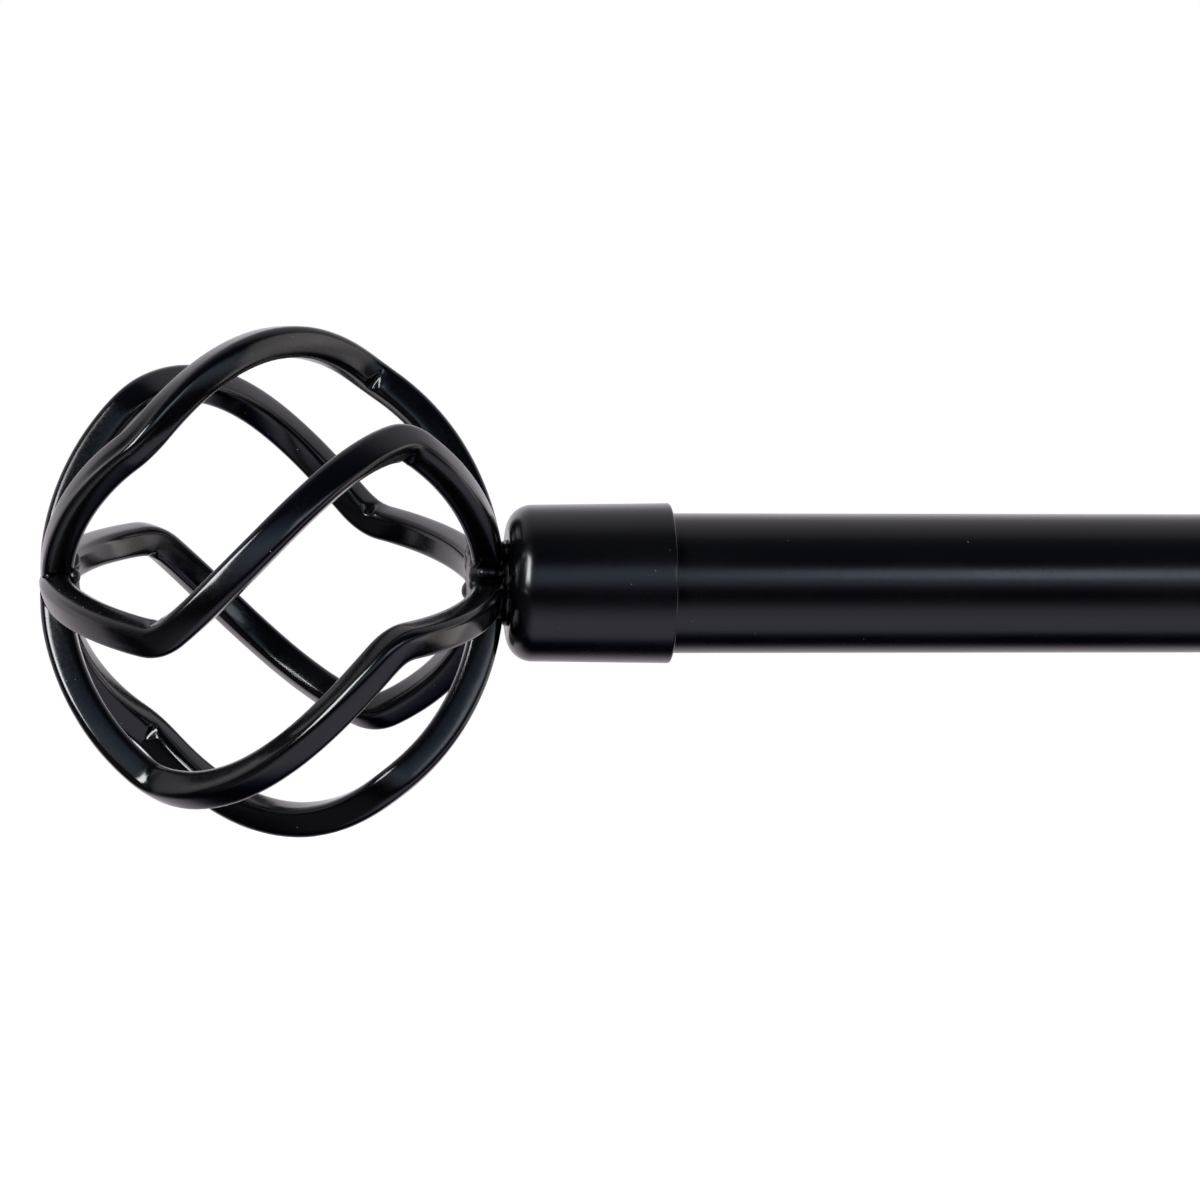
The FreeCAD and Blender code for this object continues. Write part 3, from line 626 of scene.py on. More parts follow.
def bar_share(polar, habits):
    """Where a polar angle is in the bar's turn: 0 at its first bend and 1 at its second."""
    start, end = math.radians(habits.start), math.radians(habits.end)
    return (polar - start) / (end - start)


def bar_frame(polar, habits):
    """Centre, outward normal and sideways direction of a cage bar at a polar angle from the tip."""

    def azimuth(angle):
        turned_by = turning(bar_share(angle, habits))
        before, after = (math.radians(lean) * math.sin(angle) ** 2 for lean in habits.leans)
        return CAGE_PHASE + CAGE_TWIST * turned_by + before + (after - before) * turned_by

    facing = azimuth(polar)
    turn_rate = azimuth(polar + SLOPE_STEP) - azimuth(polar - SLOPE_STEP)
    turn_rate /= 2 * SLOPE_STEP
    radial = spoke(facing)
    around = Vector((0, math.sin(facing), math.cos(facing)))
    along = Vector((1, 0, 0))
    ring = CAGE_RADIUS * math.sin(polar)
    dip = TIP_DIP * math.exp(-((ring / TIP_DIP_REACH) ** 2)) if polar < math.pi / 2 else 0.0
    centre = along * (CAGE_CENTRE - CAGE_REACH * math.cos(polar) + dip) + radial * ring
    normal = along * (-math.cos(polar) / CAGE_REACH) + radial * (math.sin(polar) / CAGE_RADIUS)
    direction = along * (CAGE_REACH * math.sin(polar)) + radial * (CAGE_RADIUS * math.cos(polar))
    direction += around * (ring * turn_rate)
    normal.normalize()
    direction.normalize()
    side = direction.cross(normal).normalized()
    turned_share = turning(bar_share(polar, habits))
    at_tip, at_middle, at_neck = (math.radians(angle) for angle in habits.rolls)
    if turned_share < 0.5:
        roll = at_tip + (at_middle - at_tip) * min(1.0, ROLL_RATE * turned_share)
    else:
        roll = at_neck + (at_middle - at_neck) * min(1.0, ROLL_RATE * (1 - turned_share))
    rolled_normal = normal * math.cos(roll) + side * math.sin(roll)
    rolled_side = side * math.cos(roll) - normal * math.sin(roll)
    return centre, rolled_normal, rolled_side


def pinch(out, over, gap):
    """How far the metal is pushed in where the inside of a bend has folded.

    out and over are the place in the section, from -1 to 1, over being 1 on the inside of the bend,
    and gap is the distance along the bar from the bend."""
    if over < 0:
        return 0.0
    reach = max(0.0, 1 - (out + 1) / PINCH_REACH)
    width = PINCH_WIDTH * reach
    fold = max(0.0, 1 - abs(gap) / width) if width > 0 else 0.0
    swell = math.exp(-((abs(gap) - PINCH_WIDTH) / SWELL_WIDTH) ** 2)
    swell *= SWELL_LEAST + (1 - SWELL_LEAST) * reach
    return over ** 3 * (PINCH_DEPTH * reach * fold - SWELL * swell)


def bar_stock():
    """Straight square bar, one metre long, with rounded edges and strips along its faces."""
    start_clean()
    bpy.ops.mesh.primitive_cube_add(size=1)
    piece = new_piece("bar_stock")
    piece.data.transform(Matrix.Diagonal((1, BAR_SIZE, BAR_SIZE, 1)))

    def runs_along(edge, mesh):
        a, b = edge_ends(edge, mesh)
        return abs(a.x - b.x) > 0.5

    def crosses_face(edge, mesh):
        a, b = edge_ends(edge, mesh)
        return not runs_along(edge, mesh) and (a - b).length > 2 * BAR_CORNER

    edit(piece)
    pick(piece, "edges", runs_along)
    bpy.ops.mesh.bevel(offset=BAR_CORNER, segments=6, affect="EDGES")
    pick(piece, "edges", crosses_face)
    bpy.ops.mesh.subdivide(number_cuts=FACE_STRIPS)
    pick(piece, "edges", runs_along)
    bpy.ops.mesh.subdivide(number_cuts=BAR_STATIONS)
    start_clean()
    return piece


def bar_stations(habits):
    """Polar angles of the bar's stations, closer together at its two bends."""
    bends = [math.radians(bend) for bend in (habits.start, habits.end)]
    reached = [0.0]
    for step in range(FINE_STEPS):
        polar = math.pi * (step + 0.5) / FINE_STEPS
        near = sum(math.exp(-(((polar - bend) / BEND_ZONE) ** 2)) for bend in bends)
        reached.append(reached[-1] + (1 + BEND_CROWDING * near))
    angles = []
    step = 0
    for station in range(BAR_STATIONS + 2):
        wanted = reached[-1] * station / (BAR_STATIONS + 1)
        while step < FINE_STEPS - 1 and reached[step + 1] < wanted:
            step += 1
        part = (wanted - reached[step]) / (reached[step + 1] - reached[step])
        angles.append(math.pi * (step + part) / FINE_STEPS)
    return angles


def cage_bar(stock, cutter, number):
    """One bar of the cage: the stock bent to its curve, with its folds and marks."""
    habits = BAR_HABITS[number]
    piece = copy_of(stock, f"cage_bar_{number + 1}", Matrix.Identity(4))
    half = BAR_SIZE / 2
    start, end = math.radians(habits.start), math.radians(habits.end)
    stations = bar_stations(habits)
    for vertex in piece.data.vertices:
        polar = stations[round((vertex.co.x + 0.5) * (BAR_STATIONS + 1))]
        out, over = vertex.co.z / half, vertex.co.y / half
        crowned_out = out * (1 - FACE_CROWN * over * over)
        crowned_over = over * (1 - FACE_CROWN * out * out)
        # the first bend folds on one side and the second on the other
        first = pinch(out, -over, (polar - start) * CAGE_RADIUS)
        second = pinch(out, over, (polar - end) * CAGE_RADIUS)
        fold_first, fold_second = habits.folds
        push_over = fold_first * first - fold_second * second
        drag = habits.drag * MM * math.exp(-(((over - DRAG_OFFSET) / DRAG_WIDTH) ** 2))
        beside = (polar - start + DRAG_PLACE) / DRAG_LENGTH
        drag *= math.exp(-(beside ** 2)) if out > OUTER_FACE else 0.0
        centre, normal, side = bar_frame(polar, habits)
        place = centre + normal * (crowned_out * half - drag)
        place += side * (crowned_over * half + push_over)
        # each bar is moved along in the noise, so that no two have the same waves
        wave = noise_at(place / WAVE_LENGTH + Vector((number * 7.3, 0, 0)))
        fine_wave = noise_at(place / FINE_WAVE_LENGTH + Vector((0, number * 3.1, 0)))
        outward = (normal * out + side * over).normalized()
        height = 0.5 + 0.5 * wave + FINE_WAVE_SHARE * fine_wave
        vertex.co = place - outward * COAT_WAVE * height
    trim_bar(piece)
    cut_away(piece, cutter)
    piece.data.transform(Matrix.Rotation(-2 * math.pi * number / BAR_COUNT, 4, "X"))
    smooth(piece, BAR_SMOOTH_ANGLE)
    return piece


def trim_bar(piece):
    """Mitres both ends of the bar, where it meets the bars beside it."""
    half_step = math.radians(180 / BAR_COUNT)
    zone = 3 * BAR_SIZE
    tip_x = CAGE_CENTRE - CAGE_REACH
    neck_x = CAGE_CENTRE + CAGE_REACH
    for end_x, facing in ((tip_x, CAGE_PHASE), (neck_x, CAGE_PHASE + CAGE_TWIST)):
        for hand in (-1, 1):
            angle = facing + hand * half_step
            outward = Vector((0, math.sin(angle), math.cos(angle))) * hand
            edit(piece)
            pick(piece, "polygons", lambda face, mesh: abs(face.center.x - end_x) < zone)
            bpy.ops.mesh.bisect(
                plane_co=outward * -MITRE_GAP,
                plane_no=outward,
                use_fill=True,
                clear_outer=True,
                threshold=1e-7,
            )
    start_clean()


COLLAR_SEAT_DEPTH = 0.8 * MM
COLLAR_SEAT_R = 6.95 * MM
CUTTER_PAST = 2 * MM  # how far the cutter goes on past the cap's end face
STUD_CUT_LENGTH = 8 * MM


def neck_cutter():
    """What the collar and the stud take out of the bars' ends."""
    seat = -(COLLAR_STAND + COLLAR_SEAT_DEPTH)
    foot = seat - STUD_CUT_LENGTH
    profile = [(foot, STUD_HOLE), (seat, STUD_HOLE)]
    profile += [(seat, COLLAR_SEAT_R), (CUTTER_PAST, COLLAR_SEAT_R)]
    piece = turned("neck_cutter", profile, segments=64)
    piece.data.transform(Z_TO_X)
    return piece


def weld_blob(name, lumps, voxel):
    """Weld metal: a run of overlapping lumps melted into one skin.

    lumps is a list of (place, radii)."""
    start_clean()
    made = []
    for place, radii in lumps:
        bpy.ops.mesh.primitive_uv_sphere_add(
            segments=20, ring_count=12, radius=1, location=place, scale=radii
        )
        made.append(new_piece(name))
        start_clean()
    for lump in made:
        lump.select_set(True)
    bpy.context.view_layer.objects.active = made[0]
    bpy.ops.object.join()
    blob = bpy.context.active_object
    blob.name = name
    blob.data.name = name
    melt = blob.modifiers.new("melt", "REMESH")
    melt.mode = "VOXEL"
    melt.voxel_size = voxel
    melt.use_smooth_shade = True
    soften = blob.modifiers.new("soften", "SMOOTH")
    soften.factor = 0.5
    soften.iterations = 12
    apply_modifiers(blob)
    start_clean()
    return blob


# A weld is made of lumps, each an ellipsoid with its radii along X, Y and Z.
TIP_BEAD_DEPTH = 1.0 * MM  # of its middle, in from the tip
TIP_BEAD = (0.85 * MM, 2.4 * MM, 2.2 * MM)
INSIDE_BEAD_STAND = 0.2 * MM  # of its middle, in from the bars
INSIDE_BEAD = (1.3 * MM, 3.4 * MM, 3.0 * MM)
INSIDE_LUMP = (1.2 * MM, 1.7 * MM, 1.5 * MM)
INSIDE_LUMP_REACH = 4.4 * MM  # from the axis
INSIDE_LUMP_STAND = 0.25 * MM  # in from the inside bead
NECK_LUMPS = 8 * BAR_COUNT  # in the run round the stud's head
NECK_LUMP_R = 1.0 * MM  # at a bar
NECK_LUMP_GROWTH = 0.5 * MM  # between two bars
NECK_RUN_R = 5.5 * MM  # at a bar
NECK_RUN_SPREAD = 0.8 * MM  # further out between two bars
NECK_RUN_RISE = 0.35 * MM  # over the bars' inner faces
SEAM_LUMP_R = (0.7 * MM, 1.2 * MM)  # along the axis, at the tip and at the neck

# The lumps of the seam between two bars, from the axis outwards, in millimetres. At the tip each
# has its distance from the axis and its radius across. At the neck it has its distance, its rise
# over the bars' inner faces and its radius across.
TIP_SEAM = ((2.2, 1.1), (3.6, 0.9), (4.9, 0.65))
NECK_SEAM = ((7.3, 0.7, 1.2), (8.5, 1.5, 1.0), (8.3, 2.8, 0.8), (7.6, 4.2, 0.7))


def tip_weld():
    """A ground-off bead where the six bars meet at the tip, and a rougher one inside the cage."""
    tip_x = CAGE_CENTRE - CAGE_REACH - BAR_SIZE / 2
    inside_x = tip_x + BAR_SIZE + INSIDE_BEAD_STAND
    lumps = [
        ((tip_x + TIP_BEAD_DEPTH, 0, 0), TIP_BEAD),
        ((inside_x, 0.3 * MM, -0.2 * MM), INSIDE_BEAD),  # laid a little off the axis
    ]
    for n in range(BAR_COUNT):
        angle = CAGE_PHASE + math.radians(360 / BAR_COUNT * (n + 0.5))
        outward = spoke(angle)
        for reach, size in TIP_SEAM:
            uneven = 1 + 0.25 * math.sin(5.0 * n + 2.0 * reach)
            depth = (0.95 + 0.03 * reach * reach) * MM  # the bars' faces curve away
            place = outward * reach * MM + Vector((tip_x + depth, 0, 0))
            lumps.append((place, (SEAM_LUMP_R[0], size * uneven * MM, size * uneven * MM)))
        place = outward * INSIDE_LUMP_REACH + Vector((inside_x + INSIDE_LUMP_STAND, 0, 0))
        lumps.append((place, INSIDE_LUMP))
    return weld_blob("tip_weld", lumps, voxel=0.22 * MM)


def neck_weld():
    """Uneven weld that runs round the stud's head and out between the bars at the neck."""
    face_x = -(COLLAR_STAND + BAR_SIZE)
    lumps = []
    for n in range(NECK_LUMPS):
        angle = CAGE_PHASE + CAGE_TWIST + 2 * math.pi * n / NECK_LUMPS
        outward = spoke(angle)
        uneven = 1 + 0.14 * math.sin(2.3 * n) + 0.1 * math.sin(5.1 * n + 1.0)
        between = 0.5 - 0.5 * math.cos(BAR_COUNT * (angle - CAGE_PHASE - CAGE_TWIST))
        size = (NECK_LUMP_R + NECK_LUMP_GROWTH * between) * uneven
        run_r = NECK_RUN_R + NECK_RUN_SPREAD * between
        place = outward * run_r + Vector((face_x + NECK_RUN_RISE, 0, 0))
        lumps.append((place, (size, 1.1 * size, 1.1 * size)))
        if between > 0.9:
            for reach, rise, size in NECK_SEAM:
                place = outward * reach * MM + Vector((face_x + rise * MM, 0, 0))
                lumps.append((place, (SEAM_LUMP_R[1], size * uneven * MM, size * uneven * MM)))
    return weld_blob("neck_weld", lumps, voxel=0.2 * MM)


# (height, radius) of the bead's section, in millimetres from the cap's end face
BEAD_PROFILE = ((0, 6.5), (0, 7.6), (-0.3, 7.8), (-0.8, 7.5), (-1.1, 6.9), (-1.1, 6.5), (0, 6.5))
BEAD_WAVE = 0.35 * MM
BEAD_WAVE_LENGTH = 1.7 * MM


def neck_bead():
    """The bead that closes the gap between the cage and its cap."""
    bead = turned("neck_bead", [(height * MM, radius * MM) for height, radius in BEAD_PROFILE])
    bead.data.transform(Z_TO_X)
    for vertex in bead.data.vertices:
        outward = Vector((0, vertex.co.y, vertex.co.z)).normalized()
        vertex.co += outward * BEAD_WAVE * noise_at(vertex.co / BEAD_WAVE_LENGTH)
    smooth(bead, angle=math.radians(60))
    return bead


def make_finials():
    """The left finial's pieces are made once, at the origin, and copied to both ends of the rod."""
    cap = finial_cap()
    stock = bar_stock()
    cutter = neck_cutter()
    bars = [cage_bar(stock, cutter, number) for number in range(BAR_COUNT)]
    welds = [tip_weld(), neck_weld(), neck_bead()]
    for side in SIDES:
        body = f"{side}_finial"
        at = finial_matrix(side)
        shell = copy_of(cap, f"{side}_cap_shell", at)
        finish_piece(shell, body, SATIN_BLACK, "satin_black_coat", f"{side}_finial_cap")
        for number, bar in enumerate(bars, start=1):
            piece = copy_of(bar, f"{side}_bar_{number}", at)
            finish_piece(piece, body, GLOSS_BLACK, "gloss_black_coat", f"{side}_cage_bar_{number}")
        for weld in welds:
            piece = copy_of(weld, f"{side}_{weld.name}", at)
            finish_piece(piece, body, WELD_BLACK, "gloss_black_coat")
    for pattern in (cap, stock, cutter, *bars, *welds):
        bpy.data.objects.remove(pattern)


# ---------------------------------------------------------------- bracket fittings
THREAD_DEPTH = 0.26 * MM
CREST_START, CREST_END = 0.4, 0.6  # of a thread's pitch
PITCH_TO_SHANK = 0.34  # to the shank's radius
HEAD_TO_SHANK = 1.85
HEAD_HEIGHT = 1.8 * MM
HEAD_TOP_ROUND = 0.62 * HEAD_HEIGHT
HEAD_EDGE_ROUND = 0.12 * HEAD_HEIGHT
RECESS_SPAN = 1.12  # of the head's radius, from end to end of a wing
RECESS_WIDTH = 0.24  # of the head's radius
RECESS_DEPTH = 1.3 * HEAD_HEIGHT  # half of it is below the top of the head
RECESS_TAPER = (0.45, 0.6, 1)
SCREW_SEGMENTS = 72


def thread_profile(radius, start, end, pitch):
    """Crests and roots of a screw thread, from start to end."""
    turns = max(1, round((end - start) / pitch))
    step = (end - start) / turns
    points = [(start, radius - THREAD_DEPTH)]
    for n in range(turns):
        points.append((start + (n + CREST_START) * step, radius))
        points.append((start + (n + CREST_END) * step, radius))
        points.append((start + (n + 1) * step, radius - THREAD_DEPTH))
    return points


def cut_recess(piece, head_r, top):
    """Cuts a tapered cross recess into the head of a screw that stands along Z."""
    for angle in (0, math.pi / 2):
        start_clean()
        bpy.ops.mesh.primitive_cube_add(size=1)
        wing = new_piece("recess_wing")
        size = (RECESS_SPAN * head_r, RECESS_WIDTH * head_r, RECESS_DEPTH, 1)
        wing.data.transform(Matrix.Diagonal(size))
        edit(wing)
        pick(wing, "polygons", lambda face, mesh: face.normal.z < -0.9)
        bpy.ops.transform.resize(value=RECESS_TAPER, center_override=(0, 0, 0))
        start_clean()
        wing.data.transform(Matrix.Translation((0, 0, top)) @ Matrix.Rotation(angle, 4, "Z"))
        cut_away(piece, wing)
        bpy.data.objects.remove(wing)


def pan_screw(node, body, turn, tip, length):
    """Pan-head screw with a cross recess. turn takes +Z to the way its head points."""
    low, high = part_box(node)
    head_r = (high.x - low.x) / 2
    shank_r = head_r / HEAD_TO_SHANK
    neck = length - HEAD_HEIGHT
    profile = thread_profile(shank_r, 0, neck, shank_r * PITCH_TO_SHANK)
    profile += [(neck, head_r), (length, head_r)]
    rounds = [(length, head_r, HEAD_TOP_ROUND, 8), (neck, head_r, HEAD_EDGE_ROUND, 2)]
    piece = turned(f"{node}_detailed", profile, rounds, segments=SCREW_SEGMENTS)
    cut_recess(piece, head_r, length)
    lay_along(piece, turn, tip)
    smooth(piece)
    finish_piece(piece, body, BLACK_OXIDE, "black_steel", node)


def socket_screw(side):
    """Countersunk screw that holds the socket to the plate from behind."""
    node = f"{side}_socket_screw"
    low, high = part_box(node)
    head_r = (high.x - low.x) / 2
    length = high.y - low.y
    shank_r, pitch = 2.5 * MM, 0.8 * MM
    rim, plain = 0.15 * MM, 0.3 * MM
    neck = length - (head_r - shank_r) - rim
    profile = thread_profile(shank_r, 0, neck - plain, pitch)
    profile += [(neck, shank_r), (length - rim, head_r), (length, head_r)]
    piece = turned(f"{node}_detailed", profile, segments=SCREW_SEGMENTS)
    cut_recess(piece, head_r * 0.8, length)
    lay_along(piece, Z_TO_Y, (middle(node).x, low.y, 0))
    smooth(piece)
    finish_piece(piece, "wall_side", ZINC, "zinc_steel", node)


def finial_stud(side):
    """Weld-over stud that holds the cage to the cap, its low head inside the cage."""
    node = f"{side}_finial_stud"
    low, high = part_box(node)
    stud_r, pitch, plain = 3 * MM, 1.0 * MM, 0.6 * MM
    head_r = (high.y - low.y) / 2
    head = 0.7 * MM
    face = -(COLLAR_STAND + BAR_SIZE)
    top = face - head
    reach = high.x - LEFT_CAP_FACE if side == "left" else RIGHT_CAP_FACE - low.x
    profile = [(top, 0.55 * head_r), (top, head_r), (face, head_r), (face, stud_r), (0, stud_r)]
    profile += thread_profile(stud_r, plain, reach - plain, pitch)
    profile.append((reach, stud_r - 2 * THREAD_DEPTH))
    rounds = [(top, head_r, 0.6 * head, 5)]
    piece = turned(f"{side}_stud", profile, rounds, segments=SCREW_SEGMENTS)
    piece.data.transform(Z_TO_X)
    piece.data.transform(finial_matrix(side))
    smooth(piece)
    finish_piece(piece, f"{side}_finial", BLACK_OXIDE, "black_steel", node)


def thumb_screw_stud(side):
    """Threaded stud of the thumb screw, with a rounded end towards the rod."""
    node = f"{side}_lock_stud"
    low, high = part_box(node)
    radius = (high.x - low.x) / 2
    root = radius - THREAD_DEPTH
    length = high.z - low.z
    foot, end, end_round, pitch = 0.4 * MM, 0.7 * MM, 0.6 * MM, 0.7 * MM
    profile = [(0, root)] + thread_profile(radius, foot, length - end, pitch)
    profile.append((length, root))
    rounds = [(length, root, end_round, 4)]
    piece = turned(f"{side}_stud_thread", profile, rounds, segments=64)
    lay_along(piece, Matrix.Identity(4), (middle(node).x, ROD_Y, low.z))
    smooth(piece)
    finish_piece(piece, f"{side}_lock_screw", BLACK_OXIDE, "black_steel", node)


ARM_WELD_LUMPS = 44
ARM_WELD_R = 1.05 * MM
ARM_WELD_DEPTH = 1.0 * MM
ARM_WELD_OFFSET = 0.35 * MM  # from the arm's surface to the middle of a lump
ARM_WELD_RISE = 0.3 * MM  # from the cradle's surface


def arm_weld(side):
    """Fillet weld that runs round the arm where it meets the cradle."""
    arm_low, arm_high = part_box(f"{side}_arm")
    cradle_low, cradle_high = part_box(f"{side}_cradle")
    arm_r = (arm_high.x - arm_low.x) / 2
    cup_r = cradle_high.y - ROD_Y
    across = middle(f"{side}_arm").x
    reach = arm_r + ARM_WELD_OFFSET
    lumps = []
    for n in range(ARM_WELD_LUMPS):
        angle = 2 * math.pi * n / ARM_WELD_LUMPS
        uneven = 1 + 0.1 * math.sin(3.7 * n) + 0.08 * math.sin(8.3 * n + 2)
        x, z = reach * math.cos(angle), reach * math.sin(angle)
        y = ROD_Y + math.sqrt(cup_r ** 2 - z ** 2) + ARM_WELD_RISE
        size = (ARM_WELD_R * uneven, ARM_WELD_DEPTH * uneven, ARM_WELD_R * uneven)
        lumps.append(((across + x, y, z), size))
    bead = weld_blob(f"{side}_arm_weld", lumps, voxel=0.25 * MM)
    finish_piece(bead, f"{side}_arm_side", WELD_BLACK, "satin_black_coat")


def make_fittings():
    """The screws, studs and welds of both sides."""
    head_down = Matrix.Rotation(math.radians(180), 4, "X")
    for side in SIDES:
        node = f"{side}_finial_screw"
        low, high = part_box(node)
        tip = (middle(node).x, low.y, middle(node).z)
        pan_screw(node, f"{side}_finial", Z_TO_Y, tip, high.y - low.y)
        node = f"{side}_arm_screw"
        low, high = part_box(node)
        tip = (middle(node).x, middle(node).y, high.z)
        pan_screw(node, "wall_side", head_down, tip, high.z - low.z)
        socket_screw(side)
        finial_stud(side)
        thumb_screw_stud(side)
        arm_weld(side)


# ---------------------------------------------------------------- light, floor and camera
# What the coat mirrors: degrees above the horizon in front, going over the top to the back at 180
# and below to the back at -180, and the light from there.
MIRRORED_ZONES = (
    (-180, (0.98, 0.92, 0.98)),
    (-150, (0.75, 0.69, 0.75)),
    (-136, (0.62, 0.56, 0.64)),
    (-127, (0.1, 0.11, 0.16)),
    (-119, (0.0, 0.0, 0.01)),
    (-100, (0.0, 0.0, 0.03)),
    (-94, (0.08, 0.1, 0.18)),
    (-84, (0.62, 0.6, 0.78)),
    (-62, (0.73, 0.7, 0.91)),
    (-48, (0.6, 0.58, 0.78)),
    (-34, (0.14, 0.13, 0.2)),
    (-25, (0.0, 0.0, 0.02)),
    (-10, (0.02, 0.0, 0.04)),
    (1, (0.38, 0.46, 0.61)),
    (12, (0.58, 0.74, 0.94)),
    (21, (0.24, 0.35, 0.54)),
    (29, (0.0, 0.0, 0.02)),
    (50, (0.01, 0.02, 0.05)),
    (74, (0.06, 0.06, 0.1)),
    (86, (0.28, 0.28, 0.37)),
    (101, (0.5, 0.49, 0.55)),
    (122, (0.6, 0.57, 0.64)),
    (134, (0.8, 0.76, 0.84)),
    (148, (1.15, 1.1, 1.2)),
    (180, (0.98, 0.92, 0.98)),
)
LEFT_FADE = (-0.75, -0.2)  # how far left a direction points where the fade ends and where it starts
LEFT_FADE_FLOOR = 0.15  # the share of the light that is left where it has faded
KEPT_LIGHT_RATE = 4.0  # how soon the fade ends, going up and towards the back

# name, place, the point on the rod that it faces, width, height, watts and colour
LAMPS = (
    ("window_strip", (0.37, -0.97, 0.24), 0.1, 0.68, 0.24, 1.0, (0.84, 0.92, 1.0)),
    ("left_softbox", (-0.8, -0.67, 0.28), -0.18, 0.36, 0.52, 11.0, (0.93, 0.97, 1.0)),
    ("warm_card", (1.1, 0.1, -0.1), -0.2, 0.9, 0.9, 2.6, (1.0, 0.93, 0.84)),
)

FLOOR_SIZE = 24
FLOOR_PLACE = (0.2, 0, -0.6)
FLOOR_GLOW = 0.9

CAMERA_YAW = 0.109  # radians
CAMERA_SHIFT = 0.0588  # to the right of the cage's centre
CAMERA_DISTANCE = 0.8977
CAMERA_DROP = 0.00305  # below the rod's axis
CAMERA_LENS = 150  # millimetres


def degrees_to_ramp(degrees):
    return (degrees + 180) / 360


def studio_world():
    """For what the coat mirrors: a white backdrop behind, a dark room with a window in front and a
    grey floor below. Below and in front it fades towards the left. The camera itself sees plain
    white all round."""
    world = bpy.data.worlds.new("studio")
    bpy.context.scene.world = world
    world.use_nodes = True
    tree = world.node_tree
    tree.nodes.clear()
    look = tree.nodes.new("ShaderNodeTexCoord")
    parts = tree.nodes.new("ShaderNodeSeparateXYZ")
    tree.links.new(look.outputs["Generated"], parts.inputs[0])
    front = math_node(tree, "MULTIPLY", parts.outputs["Y"], -1.0)
    angle = math_node(tree, "ARCTAN2", parts.outputs["Z"], front)
    turn = math_node(tree, "MULTIPLY_ADD", angle, 1 / (2 * math.pi), 0.5)
    ramp = tree.nodes.new("ShaderNodeValToRGB")
    tree.links.new(turn, ramp.inputs["Fac"])
    while len(ramp.color_ramp.elements) < len(MIRRORED_ZONES):
        ramp.color_ramp.elements.new(0.5)
    for element, (degrees, colour) in zip(ramp.color_ramp.elements, MIRRORED_ZONES):
        element.position = degrees_to_ramp(degrees)
        element.color = (*colour, 1)
    mirrored = tree.nodes.new("ShaderNodeBackground")
    tree.links.new(ramp.outputs["Color"], mirrored.inputs["Color"])
    left_fade = tree.nodes.new("ShaderNodeMapRange")
    left_fade.inputs["From Min"].default_value = LEFT_FADE[0]
    left_fade.inputs["From Max"].default_value = LEFT_FADE[1]
    tree.links.new(parts.outputs["X"], left_fade.inputs["Value"])
    behind = math_node(tree, "MULTIPLY", parts.outputs["Y"], KEPT_LIGHT_RATE)
    above = math_node(tree, "MULTIPLY", parts.outputs["Z"], KEPT_LIGHT_RATE)
    elsewhere = math_node(tree, "MAXIMUM", behind, above)
    kept = math_node(tree, "MAXIMUM", left_fade.outputs["Result"], elsewhere)
    limit = tree.nodes.new("ShaderNodeClamp")
    limit.inputs["Min"].default_value = LEFT_FADE_FLOOR
    tree.links.new(kept, limit.inputs["Value"])
    tree.links.new(limit.outputs["Result"], mirrored.inputs["Strength"])
    seen = tree.nodes.new("ShaderNodeBackground")
    seen.inputs["Color"].default_value = (1, 1, 1, 1)
    path = tree.nodes.new("ShaderNodeLightPath")
    mix = tree.nodes.new("ShaderNodeMixShader")
    tree.links.new(path.outputs["Is Camera Ray"], mix.inputs["Fac"])
    tree.links.new(mirrored.outputs[0], mix.inputs[1])
    tree.links.new(seen.outputs[0], mix.inputs[2])
    out = tree.nodes.new("ShaderNodeOutputWorld")
    tree.links.new(mix.outputs[0], out.inputs["Surface"])


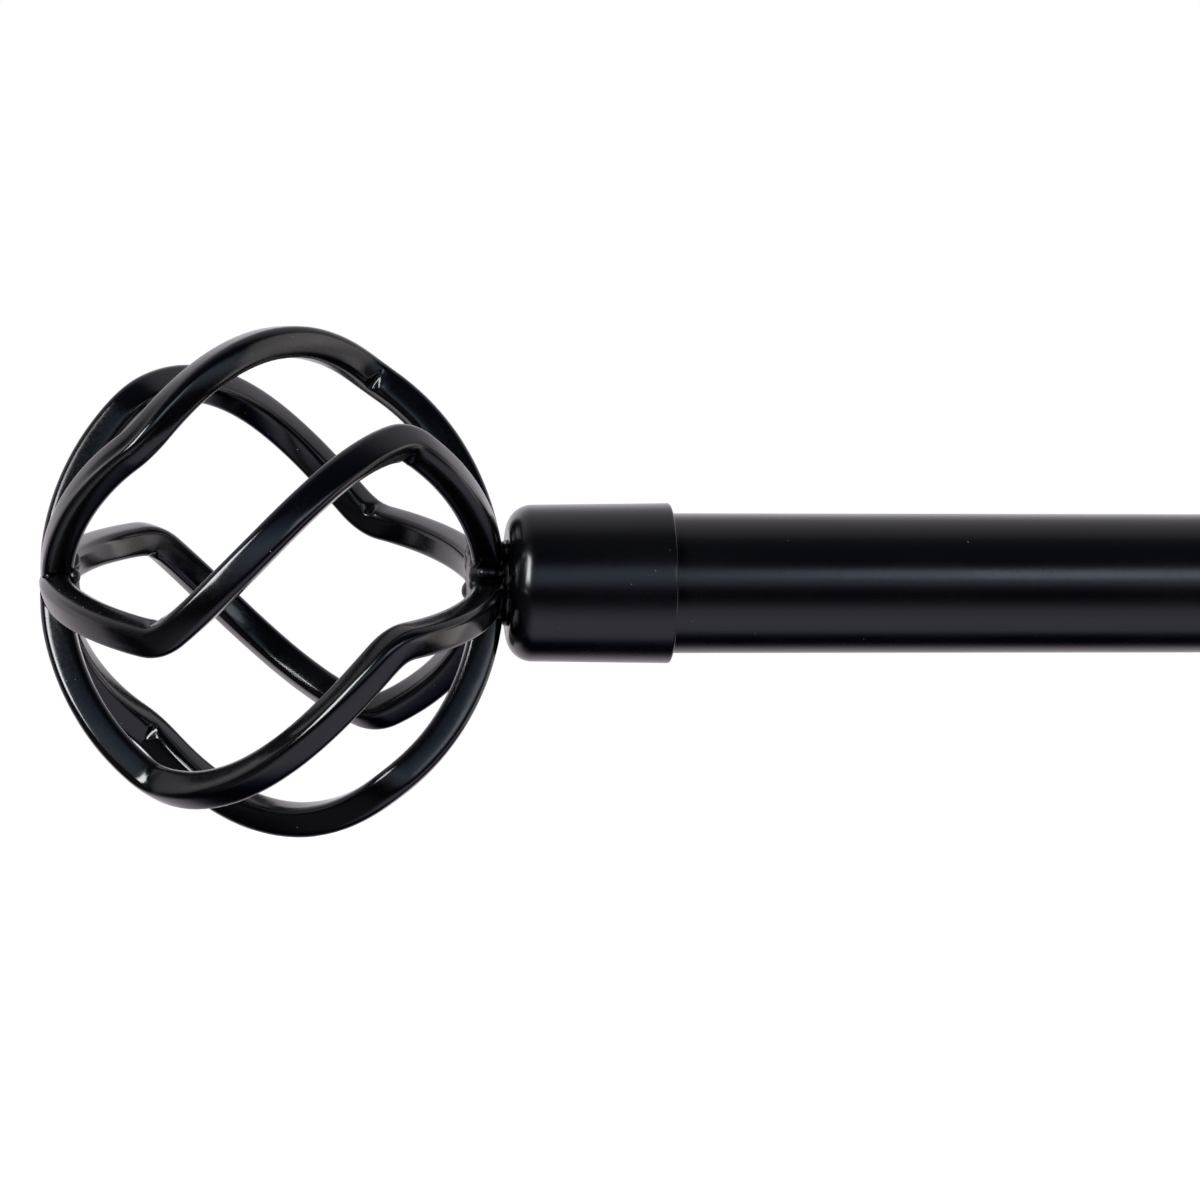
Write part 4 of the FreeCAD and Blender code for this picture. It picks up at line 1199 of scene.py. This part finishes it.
def softbox(name, place, target_x, width, height, watts, colour):
    """A rectangular lamp that faces a point on the rod."""
    target = (target_x, ROD_Y, 0)
    data = bpy.data.lights.new(name, "AREA")
    data.shape = "RECTANGLE"
    data.size = width
    data.size_y = height
    data.energy = watts
    data.color = colour
    lamp = bpy.data.objects.new(name, data)
    lamp.location = place
    lamp.rotation_euler = (Vector(target) - Vector(place)).to_track_quat("-Z", "Y").to_euler()
    lamp.visible_camera = False
    bpy.context.scene.collection.objects.link(lamp)


def pale_floor():
    """A plain pale floor, which the coat doesn't mirror."""
    start_clean()
    bpy.ops.mesh.primitive_plane_add(size=FLOOR_SIZE, location=FLOOR_PLACE)
    floor = new_piece("floor")
    floor.visible_glossy = False
    floor.visible_diffuse = False
    material, _, shader, _ = new_material("pale_floor")
    shader.inputs["Base Color"].default_value = (0.9, 0.9, 0.9, 1)
    shader.inputs["Roughness"].default_value = 0.9
    shader.inputs["Emission Color"].default_value = (1, 1, 1, 1)
    shader.inputs["Emission Strength"].default_value = FLOOR_GLOW
    floor.data.materials.append(material)


def camera():
    """Level with the rod, a little to the left of square on to it, framing the left finial."""
    aim = Vector((LEFT_CAP_FACE + CAGE_CENTRE, ROD_Y, 0))
    sideways = Vector((math.cos(CAMERA_YAW), -math.sin(CAMERA_YAW), 0))
    forwards = Vector((math.sin(CAMERA_YAW), math.cos(CAMERA_YAW), 0))
    place = aim + sideways * CAMERA_SHIFT - forwards * CAMERA_DISTANCE
    place -= Vector((0, 0, CAMERA_DROP))
    data = bpy.data.cameras.new("camera")
    data.sensor_width = 36
    data.lens = CAMERA_LENS
    data.clip_end = 50
    camera_object = bpy.data.objects.new("camera", data)
    camera_object.location = place
    camera_object.rotation_euler = forwards.to_track_quat("-Z", "Y").to_euler()
    bpy.context.scene.collection.objects.link(camera_object)
    bpy.context.scene.camera = camera_object


# ---------------------------------------------------------------- build
finish_solids()
tube_piece("outer_tube", "rod", TUBE_R)
tube_piece("inner_tube", "inner_rod", INNER_TUBE_R)
make_finials()
make_fittings()
studio_world()
for lamp_values in LAMPS:
    softbox(*lamp_values)
pale_floor()
camera()
bpy.context.scene.view_settings.view_transform = "Standard"
